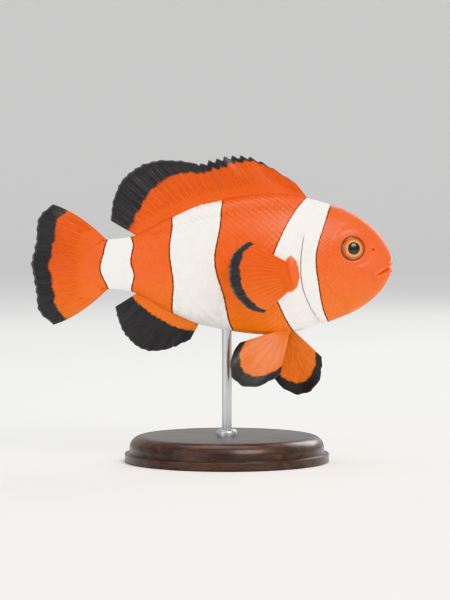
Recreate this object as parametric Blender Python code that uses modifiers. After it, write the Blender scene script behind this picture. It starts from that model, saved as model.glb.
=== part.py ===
"""A life-size false clown anemonefish (Amphiprion ocellaris) on a plain display stand.

The fish looks along +X with its back up (+Z) and its left side towards +Y. The origin lies on the
table, under the middle of the fish. Units are metres. Lengths on the fish are shares of its standard
length, which runs from the snout to the root of the tail fin; a station is such a share, counted
back from the snout, and a level is one counted up from the body axis. Angles are in degrees.
"""

import math

import bmesh
import bpy
from mathutils import Matrix, Vector

# Driving dimensions
TOTAL_LENGTH = 0.090
STANDARD_LENGTH = 0.072
SNOUT_X = TOTAL_LENGTH / 2
AXIS_Z = 0.049
GAP = 0.0003
GAP_SHARE = GAP / STANDARD_LENGTH

# The swimming tail swings to the fish's left
TAIL_SWAY = 0.0035
SWAY_START = 0.45
SWAY_END = TOTAL_LENGTH / STANDARD_LENGTH

# The body's outline: station, back height, belly depth and half width
BODY_STATIONS = {
    "snout": (0.000, 0.000, 0.000, 0.000),
    "lips": (0.018, 0.069, 0.061, 0.040),
    "brow": (0.070, 0.134, 0.121, 0.066),
    "eye": (0.150, 0.186, 0.171, 0.086),
    "nape": (0.270, 0.227, 0.215, 0.102),
    "shoulder": (0.410, 0.247, 0.243, 0.110),
    "vent": (0.640, 0.215, 0.213, 0.091),
    "haunch": (0.780, 0.161, 0.158, 0.063),
    "stalk": (0.890, 0.104, 0.099, 0.037),
    "tail_root": (1.000, 0.088, 0.085, 0.016),
}
BODY_RINGS = 34
BODY_SIDES = 32
RING_SPREAD = 1.6
BACK_PINCH = 1.10

# Where the body is parted
BEYOND_BODY = 0.29
GILL_STATION = 0.315
GILL_LEVEL = -0.010
GILL_REACH = 0.23
GILL_RISE = 0.050
GILL_FALL = 0.110
STALK_STATION = 0.895
COVER_FRONT = 0.205
COVER_TOP = 0.085
COVER_BOTTOM = -0.150
COVER_ROUND = 0.060
COVER_LEAN = 0.020
COVER_BACK = 0.360
COVER_THICKNESS = 0.0013

# Mouth: the lips part a little at the snout and close at the corner
MOUTH_CORNER = (0.056, -0.036)
UPPER_LIP = 0.0015
LOWER_LIP = -0.0115
JAW_HINGE = 0.145

# Eyes
EYE_STATION = 0.142
EYE_LEVEL = 0.058
EYE_RADIUS = 0.0035
EYE_FLATTENING = 0.72
EYE_PROUD = 0.0009
EYE_TOE_IN = 14.0
EYE_SIDES = 18
EYE_RINGS = 10

# Fins: a thin sheet with a rib at each ray
MEMBRANE = 0.0005
RAY = 0.0008
ROOT_DEPTH = 0.030
FIN_ROWS = 4
FIN_RIPPLE = 0.0005

# Fins on the midline: first and last station, heights at the front, crown and rear, where the crown
# stands, lean of the first and last ray, rays, and how deep the margin is notched between them
BACK_FINS = {
    "dorsal_fin_spines": (0.292, 0.600, (0.064, 0.162, 0.142, 0.45), (38.0, 30.0), 10, 0.09),
    "dorsal_fin_rays": (0.6045, 0.888, (0.146, 0.216, 0.096, 0.45), (30.0, 60.0), 14, 0.02),
}
BELLY_FINS = {
    "anal_fin": (0.668, 0.885, (0.060, 0.164, 0.084, 0.45), (28.0, 58.0), 13, 0.02),
}

# Tail fin
TAIL_RAYS = 15
TAIL_ROOT = 0.975
TAIL_HALF_ROOT = 0.076
TAIL_SPREAD = 34.0
TAIL_ROUNDING = 0.026
TAIL_LOBES = 0.010
TAIL_CURL = 0.0010
TAIL_BOW = 0.0013

# Breast fins, held out from the flanks
PECTORAL_RAYS = 12
PECTORAL_ROOT = (0.345, -0.028, 0.014)
PECTORAL_HALF_ROOT = (0.010, 0.038)
PECTORAL_LENGTH = 0.285
PECTORAL_ROUNDING = 0.36
PECTORAL_SPREAD = 27.0
PECTORAL_DROOP = 2.0
PECTORAL_OUT = (40.0, 6.0)
PECTORAL_BOW = 0.0011

# Belly fins: both fan down, the left one further forward than the right one
PELVIC_RAYS = 6
PELVIC_ROOT = (0.350, 0.020, 0.022)
PELVIC_ROOT_LENGTH = 0.040
PELVIC_HEIGHTS = (0.165, 0.262, 0.150, 0.48)
PELVIC_FANS = {"left": (-46.0, 14.0), "right": (13.0, 73.0)}
PELVIC_OUT = 20.0
PELVIC_BOW = 0.0006

# Stand: a turned base with a quarter round on a square foot, and one rod
BASE_RADIUS = 0.0255
BASE_HEIGHT = 0.0065
BASE_ROUND = 0.0030
BASE_STEP = 0.0012
BASE_FOOT = 0.0022
BASE_EASING = 0.0004
BASE_SIDES = 36
ROD_RADIUS = 0.0013
ROD_STATION = 0.570
ROD_SOCKET = 0.0040
ROD_SIDES = 20

# Each finish: colour, roughness and metallic
FINISHES = {
    "skin_orange": ((0.88, 0.155, 0.016), 0.42, 0.0),
    "fin_orange": ((0.86, 0.135, 0.014), 0.38, 0.0),
    "eye": ((0.012, 0.010, 0.009), 0.08, 0.0),
    "walnut": ((0.055, 0.026, 0.014), 0.35, 0.0),
    "satin_steel": ((0.56, 0.57, 0.58), 0.30, 1.0),
}


def place(station, level, side=0.0):
    """The world point at a station, a level and a distance to the fish's left, all in shares."""
    x = SNOUT_X - station * STANDARD_LENGTH
    return Vector((x, side * STANDARD_LENGTH, AXIS_Z + level * STANDARD_LENGTH))


def sway(station):
    """How far the body is swung to its left at a station, in metres."""
    past = max(0.0, station - SWAY_START) / (SWAY_END - SWAY_START)
    return TAIL_SWAY * past * past


def through_stations(column, station):
    """A smooth curve through one column of BODY_STATIONS. Its root spacing gives the blunt snout."""
    rows = list(BODY_STATIONS.values())
    at = [math.sqrt(row[0]) for row in rows]
    value = [row[column] for row in rows]
    here = math.sqrt(min(max(station, 0.0), 1.0))
    i = max(k for k in range(len(at) - 1) if at[k] <= here)

    def slope(k):
        before, after = max(k - 1, 0), min(k + 1, len(at) - 1)
        return (value[after] - value[before]) / (at[after] - at[before])

    span = at[i + 1] - at[i]
    t = (here - at[i]) / span
    return (
        value[i] * (1 + 2 * t) * (1 - t) ** 2
        + slope(i) * span * t * (1 - t) ** 2
        + value[i + 1] * t * t * (3 - 2 * t)
        + slope(i + 1) * span * t * t * (t - 1)
    )


def back(station):
    return through_stations(1, station)


def belly(station):
    return -through_stations(2, station)


def half_width(station):
    return through_stations(3, station)


def flank(station, level):
    """Half the body's width at a station and a level."""
    reach = back(station) if level > 0 else -belly(station)
    pinch = BACK_PINCH if level > 0 else 1.0
    height = min(abs(level) / reach, 1.0)
    return half_width(station) * math.cos(math.asin(height)) ** pinch


def collection(name):
    made = bpy.data.collections.new(name)
    bpy.context.scene.collection.children.link(made)
    return made


def material(name):
    colour, roughness, metallic = FINISHES[name]
    made = bpy.data.materials.get(name) or bpy.data.materials.new(name)
    made.use_nodes = True
    shader = made.node_tree.nodes["Principled BSDF"]
    shader.inputs["Base Color"].default_value = (*colour, 1.0)
    shader.inputs["Roughness"].default_value = roughness
    shader.inputs["Metallic"].default_value = metallic
    return made


def mesh_of(work, name):
    """A smooth-shaded mesh made from a finished bmesh."""
    made = bpy.data.meshes.new(name)
    work.to_mesh(made)
    work.free()
    made.shade_smooth()
    return made


def add_object(name, mesh, group, finish=None):
    """An object of the model, or a hidden cutter where no finish is given."""
    made = bpy.data.objects.new(name, mesh)
    group.objects.link(made)
    if finish is None:
        made.hide_render = True
        made.display_type = "WIRE"
    else:
        mesh.materials.clear()
        mesh.materials.append(material(finish))
    return made


def boolean(target, operation, cutter):
    modifier = target.modifiers.new(f"{operation.lower()} {cutter.name}", "BOOLEAN")
    modifier.operation = operation
    modifier.object = cutter
    modifier.solver = "EXACT"


def body_mesh(name, growth=0.0):
    """The whole body without fins: a sphere whose rings take the body's sections, grown by a margin."""
    work = bmesh.new()
    bmesh.ops.create_uvsphere(work, u_segments=BODY_SIDES, v_segments=BODY_RINGS, radius=1.0)
    grown = growth / STANDARD_LENGTH
    for vertex in work.verts:
        turn = math.acos(max(-1.0, min(1.0, vertex.co.z))) / math.pi
        ring = min(turn * BODY_RINGS / (BODY_RINGS - 1), 1.0)
        station = ring ** RING_SPREAD
        end = station + grown * (2.0 * station - 1.0)
        around = Vector((vertex.co.x, vertex.co.y))
        if around.length < 1e-6:
            end = -grown if turn < 0.5 else 1.0 + grown
            vertex.co = place(end, 0.0)
        else:
            across, up = around.normalized()
            pinch = BACK_PINCH if up > 0 else 1.0
            side = math.copysign(abs(across) ** pinch, across) * (half_width(station) + grown)
            reach = back(station) if up > 0 else -belly(station)
            vertex.co = place(end, up * (reach + grown), side)
        vertex.co.y += sway(end)
    bmesh.ops.recalc_face_normals(work, faces=work.faces)
    return mesh_of(work, name)


def side_cutter(name, outline, group, near=-0.03, far=0.03):
    """A flat outline in side view, run across the fish from near to far, as a closed mesh."""
    curve = bpy.data.curves.new(name, "CURVE")
    curve.dimensions = "2D"
    curve.fill_mode = "BOTH"
    curve.extrude = (far - near) / 2
    spline = curve.splines.new("POLY")
    spline.points.add(len(outline) - 1)
    for point, (station, level) in zip(spline.points, outline):
        spot = place(station, level)
        point.co = (spot.x, spot.z, 0.0, 1.0)
    spline.use_cyclic_u = True
    drawn = bpy.data.objects.new(name, curve)
    group.objects.link(drawn)
    bpy.context.view_layer.update()
    mesh = bpy.data.meshes.new_from_object(drawn.evaluated_get(bpy.context.evaluated_depsgraph_get()))
    bpy.data.objects.remove(drawn)
    work = bmesh.new()
    work.from_mesh(mesh)
    bmesh.ops.remove_doubles(work, verts=work.verts, dist=1e-6)
    turn = Matrix.Translation((0.0, (near + far) / 2, 0.0)) @ Matrix.Rotation(math.pi / 2, 4, "X")
    bmesh.ops.transform(work, matrix=turn, verts=work.verts)
    bmesh.ops.recalc_face_normals(work, faces=work.faces)
    work.to_mesh(mesh)
    work.free()
    return add_object(name, mesh, group)


def gill_edge(level):
    """The station of the gill opening at a level: an arc that bows back towards the breast fin."""
    past = (level - GILL_LEVEL) / GILL_REACH
    return GILL_STATION - (GILL_RISE if past > 0 else GILL_FALL) * past * past


def body_regions(group):
    """Side-view cutters that part the body into head, trunk and tail stalk."""
    top, bottom = BEYOND_BODY, -BEYOND_BODY
    steps = 14
    levels = [top + (bottom - top) * k / steps for k in range(steps + 1)]
    edge = [(gill_edge(level), level) for level in levels]
    behind = [(station + GAP_SHARE, level) for station, level in edge]
    before_snout, past_tail = -0.1, 1.1
    stalk_front = STALK_STATION + GAP_SHARE
    outlines = {
        "head": [(before_snout, bottom), (before_snout, top), *edge],
        "trunk": [*behind, (STALK_STATION, bottom), (STALK_STATION, top)],
        "tail_stalk": [(stalk_front, top), (past_tail, top), (past_tail, bottom), (stalk_front, bottom)],
    }
    return {name: side_cutter(f"{name}_region", outline, group) for name, outline in outlines.items()}


def jaw_outline(lip, slack):
    """The lower jaw in side view, from the parted lips to its hinge, with slack on the hinge side."""
    corner, level = MOUTH_CORNER
    before_snout = -0.1
    return [(before_snout, lip), (0.0, lip), (corner + slack, level),
            (JAW_HINGE + slack, -BEYOND_BODY), (before_snout, -BEYOND_BODY)]


def cover_outline(slack):
    """The gill cover in side view: a rounded plate whose rear edge is the gill opening."""
    middle = (COVER_TOP + COVER_BOTTOM) / 2
    reach = (COVER_TOP - COVER_BOTTOM) / 2 + slack
    front = []
    steps = 10
    for k in range(steps + 1):
        angle = math.pi / 2 + math.pi * k / steps
        lean = COVER_LEAN * math.sin(angle)
        station = COVER_FRONT + COVER_ROUND + lean + (COVER_ROUND + slack) * math.cos(angle)
        front.append((station, middle + reach * math.sin(angle)))
    return [*front, (COVER_BACK, middle - reach), (COVER_BACK, middle + reach)]


def gill_covers(body, regions, model, helpers):
    """Two curved plates over the gills, and the pockets in the head that they lie in."""
    core = add_object("cover_bed", body_mesh("cover_bed", -COVER_THICKNESS), helpers)
    deep = add_object("pocket_bed", body_mesh("pocket_bed", -COVER_THICKNESS - GAP), helpers)
    inner, outer = 0.001, 0.02
    pockets = []
    for label, sign in (("left", 1.0), ("right", -1.0)):
        span = sorted((sign * inner, sign * outer))
        blank = side_cutter(f"cover_blank_{label}", cover_outline(0.0), helpers, *span)
        cover = add_object(f"gill_cover_{label}", blank.data.copy(), model, "skin_orange")
        boolean(cover, "INTERSECT", body)
        boolean(cover, "INTERSECT", regions["head"])
        boolean(cover, "DIFFERENCE", core)
        pocket = side_cutter(f"pocket_{label}", cover_outline(GAP_SHARE), helpers, *span)
        boolean(pocket, "DIFFERENCE", deep)
        pockets.append(pocket)
    return pockets


def eye_mesh(name, sign, growth):
    """A flattened ball set into the cheek, or its socket if it is grown."""
    work = bmesh.new()
    bmesh.ops.create_uvsphere(work, u_segments=EYE_SIDES, v_segments=EYE_RINGS, radius=EYE_RADIUS + growth)
    depth = flank(EYE_STATION, EYE_LEVEL) * STANDARD_LENGTH + EYE_PROUD
    centre = place(EYE_STATION, EYE_LEVEL)
    centre.y = sign * (depth - EYE_RADIUS * EYE_FLATTENING)
    flatten = Matrix.Diagonal((1.0, 1.0, EYE_FLATTENING, 1.0))
    face_out = Matrix.Rotation(math.pi / 2, 4, "X") @ flatten
    toe_in = Matrix.Rotation(math.radians(-sign * EYE_TOE_IN), 4, "Z")
    bmesh.ops.transform(work, matrix=Matrix.Translation(centre) @ toe_in @ face_out, verts=work.verts)
    return mesh_of(work, name)


def make_body(model, helpers):
    """Head, lower jaw, gill covers, trunk, tail stalk and eyes. Returns the body grown by the gap."""
    body = add_object("body_whole", body_mesh("body_whole"), helpers)
    regions = body_regions(helpers)
    pieces = {}
    for name, region in regions.items():
        pieces[name] = add_object(name, body.data.copy(), model, "skin_orange")
        boolean(pieces[name], "INTERSECT", region)
    jaw_room = side_cutter("jaw_room", jaw_outline(UPPER_LIP, GAP_SHARE), helpers)
    jaw_region = side_cutter("jaw_region", jaw_outline(LOWER_LIP, 0.0), helpers)
    boolean(pieces["head"], "DIFFERENCE", jaw_room)
    jaw = add_object("lower_jaw", body.data.copy(), model, "skin_orange")
    boolean(jaw, "INTERSECT", jaw_region)
    for pocket in gill_covers(body, regions, model, helpers):
        boolean(pieces["head"], "DIFFERENCE", pocket)
    for label, sign in (("left", 1.0), ("right", -1.0)):
        add_object(f"eye_{label}", eye_mesh(f"eye_{label}", sign, 0.0), model, "eye")
        socket = add_object(f"socket_{label}", eye_mesh(f"socket_{label}", sign, GAP), helpers)
        boolean(pieces["head"], "DIFFERENCE", socket)
    return add_object("body_clearance", body_mesh("body_clearance", GAP), helpers)


def arch(t, front, crown, rear, crest):
    """A height that climbs from front to crown at crest, then falls to rear."""
    if t < crest:
        return front + (crown - front) * math.sin(math.pi / 2 * t / crest)
    return crown - (crown - rear) * (1.0 - math.cos(math.pi / 2 * (t - crest) / (1.0 - crest)))


def fin(name, rays, notch, ray_line, clearance, model, folds=2):
    """A thin sheet with a rib at each ray, trimmed where it meets the body.

    ray_line(t) gives the root point, the tip point and the bow of the ray at share t of the fin.
    Each ray has its own run of columns, folds of them, with the rib in the middle one."""
    work = bmesh.new()
    columns = folds * rays
    bmesh.ops.create_grid(work, x_segments=columns, y_segments=FIN_ROWS, size=0.5)
    ribs = []
    for vertex in work.verts:
        t, along = vertex.co.x + 0.5, vertex.co.y + 0.5
        column = round(t * columns)
        root, tip, bow = ray_line(t)
        rib = 1.0 - abs(2.0 * (column % folds) / folds - 1.0)
        inner = 0 < column < columns
        reach = along * (1.0 - notch * along * (1.0 - rib) * inner)
        vertex.co = root.lerp(tip, reach) + bow * (4.0 * along * (1.0 - along))
        ribs.append(rib)
    sheet = add_object(name, mesh_of(work, name), model, "fin_orange")
    group = sheet.vertex_groups.new(name="rays")
    for index, rib in enumerate(ribs):
        group.add([index], rib, "REPLACE")
    solidify = sheet.modifiers.new("thickness", "SOLIDIFY")
    solidify.thickness = RAY
    solidify.offset = 0.0
    solidify.use_even_offset = False
    solidify.vertex_group = "rays"
    solidify.thickness_vertex_group = MEMBRANE / RAY
    boolean(sheet, "DIFFERENCE", clearance)


def median_ray(start, end, edge, sign, heights, lean):
    """Rays of a fin on the midline, between two stations on the back or the belly."""

    def ray_line(t):
        station = start + (end - start) * t
        height = arch(t, *heights)
        angle = math.radians(lean[0] + (lean[1] - lean[0]) * t)
        along, up = math.sin(angle), sign * math.cos(angle)
        root_station = station - along * ROOT_DEPTH
        tip_station = station + along * height
        root = place(root_station, edge(station) - up * ROOT_DEPTH)
        tip = place(tip_station, edge(station) + up * height)
        root.y += sway(root_station)
        tip.y += sway(tip_station)
        return root, tip, Vector((0.0, FIN_RIPPLE * math.sin(7.0 * t), 0.0))

    return ray_line


def caudal_ray(t):
    """Rays of the rounded tail fin, from the upper lobe to the lower one."""
    up = 1.0 - 2.0 * t
    angle = math.radians(TAIL_SPREAD) * up
    lobes = TAIL_LOBES * math.sin(1.5 * math.pi * up) ** 2
    length = SWAY_END - TAIL_ROOT - TAIL_ROUNDING * up ** 4 - lobes
    tip_station = TAIL_ROOT + length * math.cos(angle)
    root = place(TAIL_ROOT, TAIL_HALF_ROOT * up)
    tip = place(tip_station, TAIL_HALF_ROOT * up + length * math.sin(angle))
    root.y += sway(TAIL_ROOT)
    tip.y += sway(tip_station) + TAIL_CURL * math.sin(5.0 * up + 0.8)
    return root, tip, Vector((0.0, TAIL_CURL * math.cos(4.0 * up), TAIL_BOW * up))


def pectoral_ray(sign):
    """Rays of a breast fin: a rounded paddle held out from the flank."""

    def ray_line(t):
        up = 1.0 - 2.0 * t
        station = PECTORAL_ROOT[0] + PECTORAL_HALF_ROOT[0] * up
        level = PECTORAL_ROOT[1] + PECTORAL_HALF_ROOT[1] * up
        side = sign * (flank(station, level) - PECTORAL_ROOT[2])
        angle = math.radians(PECTORAL_SPREAD * up - PECTORAL_DROOP)
        out = math.radians(PECTORAL_OUT[0] - PECTORAL_OUT[1] * up)
        length = PECTORAL_LENGTH * (1.0 - PECTORAL_ROUNDING * up * up)
        back_share = math.cos(angle) * math.cos(out)
        out_share = math.cos(angle) * math.sin(out)
        root = place(station, level, side)
        tip = place(station + length * back_share, level + length * math.sin(angle),
                    side + sign * length * out_share)
        return root, tip, Vector((0.0, sign * PECTORAL_BOW, 0.0))

    return ray_line


def pelvic_ray(sign, lead, trail):
    """Rays of a belly fin: a rounded fan between two angles behind the vertical."""

    def ray_line(t):
        station = PELVIC_ROOT[0] + PELVIC_ROOT_LENGTH * t
        level = belly(station) + PELVIC_ROOT[1]
        side = sign * PELVIC_ROOT[2]
        length = arch(t, *PELVIC_HEIGHTS)
        angle = math.radians(lead + (trail - lead) * t)
        out = math.radians(PELVIC_OUT)
        root = place(station, level, side)
        tip = place(station + length * math.sin(angle) * math.cos(out),
                    level - length * math.cos(angle) * math.cos(out),
                    side + sign * length * math.sin(out))
        return root, tip, Vector((0.0, sign * PELVIC_BOW, 0.0))

    return ray_line


def make_fins(model, clearance):
    for edge, sign, fins in ((back, 1.0, BACK_FINS), (belly, -1.0, BELLY_FINS)):
        for name, (start, end, heights, lean, rays, notch) in fins.items():
            ray_line = median_ray(start, end, edge, sign, heights, lean)
            fin(name, rays, notch, ray_line, clearance, model)
    notch = 0.02
    fin("tail_fin", TAIL_RAYS, notch, caudal_ray, clearance, model)
    for label, sign in (("left", 1.0), ("right", -1.0)):
        pelvic = pelvic_ray(sign, *PELVIC_FANS[label])
        fin(f"pectoral_fin_{label}", PECTORAL_RAYS, notch, pectoral_ray(sign), clearance, model)
        fin(f"pelvic_fin_{label}", PELVIC_RAYS, notch, pelvic, clearance, model, folds=3)


def cylinder(name, radius, low, high, group, finish=None):
    """An upright round bar on the stand's axis."""
    work = bmesh.new()
    bmesh.ops.create_cone(work, cap_ends=True, segments=ROD_SIDES, radius1=radius, radius2=radius,
                          depth=high - low)
    bmesh.ops.translate(work, vec=(stand_x(), 0.0, (low + high) / 2), verts=work.verts)
    mesh = mesh_of(work, name)
    mesh.set_sharp_from_angle(angle=math.radians(40.0))
    return add_object(name, mesh, group, finish)


def stand_x():
    return SNOUT_X - ROD_STATION * STANDARD_LENGTH


def make_stand(model, helpers, clearance):
    """A turned base and one rod that carries the fish under its belly."""
    top_radius = BASE_RADIUS - BASE_STEP
    steps = 3
    corners = [math.pi / 2 * k / steps for k in range(steps + 1)]
    quarter_round = [
        (top_radius - BASE_ROUND * (1.0 - math.sin(turn)), BASE_HEIGHT - BASE_ROUND * (1.0 - math.cos(turn)))
        for turn in corners
    ]
    profile = [
        (0.0, BASE_HEIGHT),
        *quarter_round,
        (top_radius, BASE_FOOT),
        (BASE_RADIUS, BASE_FOOT),
        (BASE_RADIUS, BASE_EASING),
        (BASE_RADIUS - BASE_EASING, 0.0),
        (0.0, 0.0),
    ]
    mesh = bpy.data.meshes.new("stand_base")
    mesh.from_pydata([(x, 0.0, z) for x, z in profile], [(k, k + 1) for k in range(len(profile) - 1)], [])
    base = add_object("stand_base", mesh, model, "walnut")
    base.location.x = stand_x()
    screw = base.modifiers.new("turned", "SCREW")
    screw.steps = BASE_SIDES
    screw.render_steps = BASE_SIDES
    screw.use_merge_vertices = True
    screw.merge_threshold = 0.0001
    floor = BASE_HEIGHT - ROD_SOCKET
    boolean(base, "DIFFERENCE", cylinder("rod_socket", ROD_RADIUS + GAP, floor, 2 * BASE_HEIGHT, helpers))
    rod = cylinder("stand_rod", ROD_RADIUS, floor + GAP, AXIS_Z, model, "satin_steel")
    boolean(rod, "DIFFERENCE", clearance)


def main():
    for item in list(bpy.data.objects):
        bpy.data.objects.remove(item)
    model = collection("clownfish")
    helpers = collection("cutters")
    clearance = make_body(model, helpers)
    make_fins(model, clearance)
    make_stand(model, helpers, clearance)


main()
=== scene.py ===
"""A false clown anemonefish (Amphiprion ocellaris) on its display stand, laid out as a Blender add-on.

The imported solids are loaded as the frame. Over them come one scaled skin, finely rayed fins, wet eyes
and a finished stand. The fish looks along +X, its back is up and its left side is towards +Y. Lengths on
the body are shares of the standard length: a station is counted back from the snout and a level up from
the body axis. Everything else is in metres.
"""

import math

import bmesh
import bpy
import numpy as np
from bpy.props import FloatProperty, FloatVectorProperty, IntProperty, PointerProperty
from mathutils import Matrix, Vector


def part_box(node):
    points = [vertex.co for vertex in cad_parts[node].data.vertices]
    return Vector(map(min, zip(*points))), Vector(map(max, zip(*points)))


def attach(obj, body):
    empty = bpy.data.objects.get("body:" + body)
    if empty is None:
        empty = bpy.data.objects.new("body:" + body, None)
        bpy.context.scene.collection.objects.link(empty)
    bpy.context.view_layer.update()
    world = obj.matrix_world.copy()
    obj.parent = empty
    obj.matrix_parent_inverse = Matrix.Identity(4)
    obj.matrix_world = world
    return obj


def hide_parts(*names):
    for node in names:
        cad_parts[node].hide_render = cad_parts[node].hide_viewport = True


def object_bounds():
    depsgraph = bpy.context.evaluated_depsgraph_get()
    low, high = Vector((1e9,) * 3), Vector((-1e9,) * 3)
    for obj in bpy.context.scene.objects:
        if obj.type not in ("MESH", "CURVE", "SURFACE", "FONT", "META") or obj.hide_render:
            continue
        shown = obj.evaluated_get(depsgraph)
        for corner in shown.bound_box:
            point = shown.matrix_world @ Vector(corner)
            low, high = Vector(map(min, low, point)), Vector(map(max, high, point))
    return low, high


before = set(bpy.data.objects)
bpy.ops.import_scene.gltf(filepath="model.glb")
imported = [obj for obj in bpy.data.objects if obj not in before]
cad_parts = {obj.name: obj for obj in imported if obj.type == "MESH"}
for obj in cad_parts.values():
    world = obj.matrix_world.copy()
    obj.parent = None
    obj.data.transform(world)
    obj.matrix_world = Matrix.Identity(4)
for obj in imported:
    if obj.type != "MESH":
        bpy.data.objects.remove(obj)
CAD_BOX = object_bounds()

bl_info = {
    "name": "Clownfish on a display stand",
    "version": (1, 0, 0),
    "blender": (4, 5, 0),
    "location": "View3D > Sidebar > Clownfish",
    "description": "Builds the skin, scales, fins, eyes and stand of a life-size clownfish",
    "category": "Add Mesh",
}

MM = 0.001
BODY = "root"
SIDES = {"left": 1.0, "right": -1.0}

# The fish's own measures, the same as the solids have
TOTAL_LENGTH = CAD_BOX[1][0] - CAD_BOX[0][0]
STANDARD_LENGTH = 0.8 * TOTAL_LENGTH
SNOUT_X = CAD_BOX[1][0]
AXIS_Z = 0.049
TAIL_SWAY = 0.0035
SWAY_START = 0.45
SWAY_END = TOTAL_LENGTH / STANDARD_LENGTH

# Station, back height, belly depth and half width
BODY_STATIONS = np.array([
    (0.000, 0.000, 0.000, 0.000),
    (0.018, 0.069, 0.061, 0.040),
    (0.070, 0.134, 0.121, 0.066),
    (0.150, 0.186, 0.171, 0.086),
    (0.270, 0.227, 0.215, 0.102),
    (0.410, 0.247, 0.243, 0.110),
    (0.640, 0.215, 0.213, 0.091),
    (0.780, 0.161, 0.158, 0.063),
    (0.890, 0.104, 0.099, 0.037),
    (1.000, 0.088, 0.085, 0.016),
])
BACK_PINCH = 1.10
# Behind the last rib of the tail root the flanks close over the rays in a rounded edge
WEDGE_START = 0.985
TAIL_WEDGE = 0.085
WEDGE_BOW = 0.50

# Head
GILL_STATION = 0.315
GILL_LEVEL = -0.010
GILL_REACH = 0.23
GILL_RISE = 0.050
GILL_FALL = 0.110
GILL_LOW_END = (-0.235, -0.205)
GILL_HIGH_END = (0.085, 0.125)
MOUTH_CORNER = (0.056, -0.036)
MOUTH_MIDDLE = -0.005
MOUTH_GAPE = 0.0065
EYE_STATION = 0.142
EYE_LEVEL = 0.058
EYE_RADIUS = 0.0035
EYE_FLATTENING = 0.72
EYE_PROUD = 0.0009
EYE_TOE_IN = 14.0
EYE_LIFT = 5.0
EYE_OPENING = 0.0031
NOSTRIL = (0.066, 0.056)
CHEEK_CENTRE = (0.128, -0.020)
CHEEK_RADIUS = 0.098
# In degrees about the cheek's centre, counted up from straight back
CHEEK_LOW_END = (-95.0, -60.0)
CHEEK_HIGH_END = (18.0, 42.0)
PECTORAL_PAD = (0.350, -0.028)
PAD_REACH = (0.028, 0.062)
PAD_WAVES = ((0.04, 3.0, 0.5), (0.03, 11.0, 0.0))

# Skin relief. The naked edge is the front of the scaled area: levels, and the station at each
NAKED_EDGE = ((-0.21, -0.13, -0.06, 0.00, 0.06, 0.12, 0.16, 0.21),
              (0.165, 0.118, 0.098, 0.112, 0.190, 0.178, 0.166, 0.160))
NAKED_WAVES = ((0.005, 83.0, 0.0), (0.004, 171.0, 1.0))
NAKED_FADE = (-0.004, 0.030)
PAD_FADE = (0.70, 1.05)
COAT_DEPTH = 0.25 * MM
LIP_WIDTH = 0.95 * MM
LIP_HEIGHT = 0.28 * MM
LIP_CREASE = 0.12 * MM
MOUTH_DEPTH = 1.5 * MM
MOUTH_WALL = (0.0, 0.15 * MM)
NOSTRIL_RADIUS = 0.42 * MM
NOSTRIL_RIM = 0.14 * MM
NOSTRIL_RIM_WIDTH = 0.16 * MM
NOSTRIL_DEPTH = 0.45 * MM
NOSTRIL_WALL = (-0.34 * MM, -0.14 * MM)
GILL_EDGE = 0.16 * MM
GILL_EDGE_WIDTH = 1.1 * MM
GILL_EDGE_FALL = (-0.05 * MM, 0.15 * MM)
GILL_DEPTH = 0.50 * MM
GILL_WALL = (-0.02 * MM, 0.12 * MM)
GILL_RUN_OUT = 2.0 * MM
CHEEK_EDGE = 0.12 * MM
CHEEK_EDGE_WIDTH = 0.40 * MM
CHEEK_EDGE_INSIDE = 0.45 * MM
CHEEK_DEPTH = 0.22 * MM
CHEEK_GROOVE_WIDTH = 0.24 * MM
PAD_HEIGHT = 0.75 * MM
PAD_RISE = (-0.35, 0.80)
ORBIT_CLEAR = (3.9 * MM, 5.2 * MM)
ORBIT_REACH = (0.7 * MM, 3.0 * MM)
ORBIT_RIM = 0.08 * MM
ORBIT_RIM_END = (1.2 * MM, 0.3 * MM)
ORBIT_ROLL = 0.20 * MM
ORBIT_ROLL_AT = (0.42 * MM, 0.34 * MM)
ORBIT_DEPTH = 2.4 * MM
ORBIT_WALL = (0.35 * MM, 0.80 * MM)
ORBIT_NEAR_SIDE = -2.5 * MM


def place(station, level, side):
    """World points at stations, levels and distances to the fish's left, all in shares."""
    x = SNOUT_X - station * STANDARD_LENGTH
    y = side * STANDARD_LENGTH + sway(station)
    z = AXIS_Z + level * STANDARD_LENGTH
    return np.stack(np.broadcast_arrays(x, y, z), axis=-1)


def station_and_level(points):
    return (SNOUT_X - points[..., 0]) / STANDARD_LENGTH, (points[..., 2] - AXIS_Z) / STANDARD_LENGTH


def sway(station):
    """How far the swimming tail is swung to the fish's left, in metres."""
    past = np.maximum(0.0, station - SWAY_START) / (SWAY_END - SWAY_START)
    return TAIL_SWAY * past * past


def through_stations(column, station):
    """A smooth curve through one column of BODY_STATIONS. Its root spacing gives the blunt snout."""
    at = np.sqrt(BODY_STATIONS[:, 0])
    value = BODY_STATIONS[:, column]
    here = np.sqrt(np.clip(station, 0.0, 1.0))
    last = len(at) - 1
    i = np.clip(np.searchsorted(at, here, side="right") - 1, 0, last - 1)
    before = np.maximum(np.arange(last + 1) - 1, 0)
    after = np.minimum(np.arange(last + 1) + 1, last)
    slope = (value[after] - value[before]) / (at[after] - at[before])
    span = at[i + 1] - at[i]
    t = (here - at[i]) / span
    return (
        value[i] * (1 + 2 * t) * (1 - t) ** 2
        + slope[i] * span * t * (1 - t) ** 2
        + value[i + 1] * t * t * (3 - 2 * t)
        + slope[i + 1] * span * t * t * (t - 1)
    )


def back(station):
    return through_stations(1, station)


def belly(station):
    return -through_stations(2, station)


def half_width(station):
    return through_stations(3, station)


def ease(value, start, end):
    """Rises smoothly from 0 at start to 1 at end."""
    t = np.clip((value - start) / (end - start), 0.0, 1.0)
    return t * t * (3.0 - 2.0 * t)


def ease_ends(value, first, last, start, end):
    """1 in the middle of a run, easing to 0 near both its ends."""
    return ease(value - first, start, end) * ease(last - value, start, end)


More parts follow.
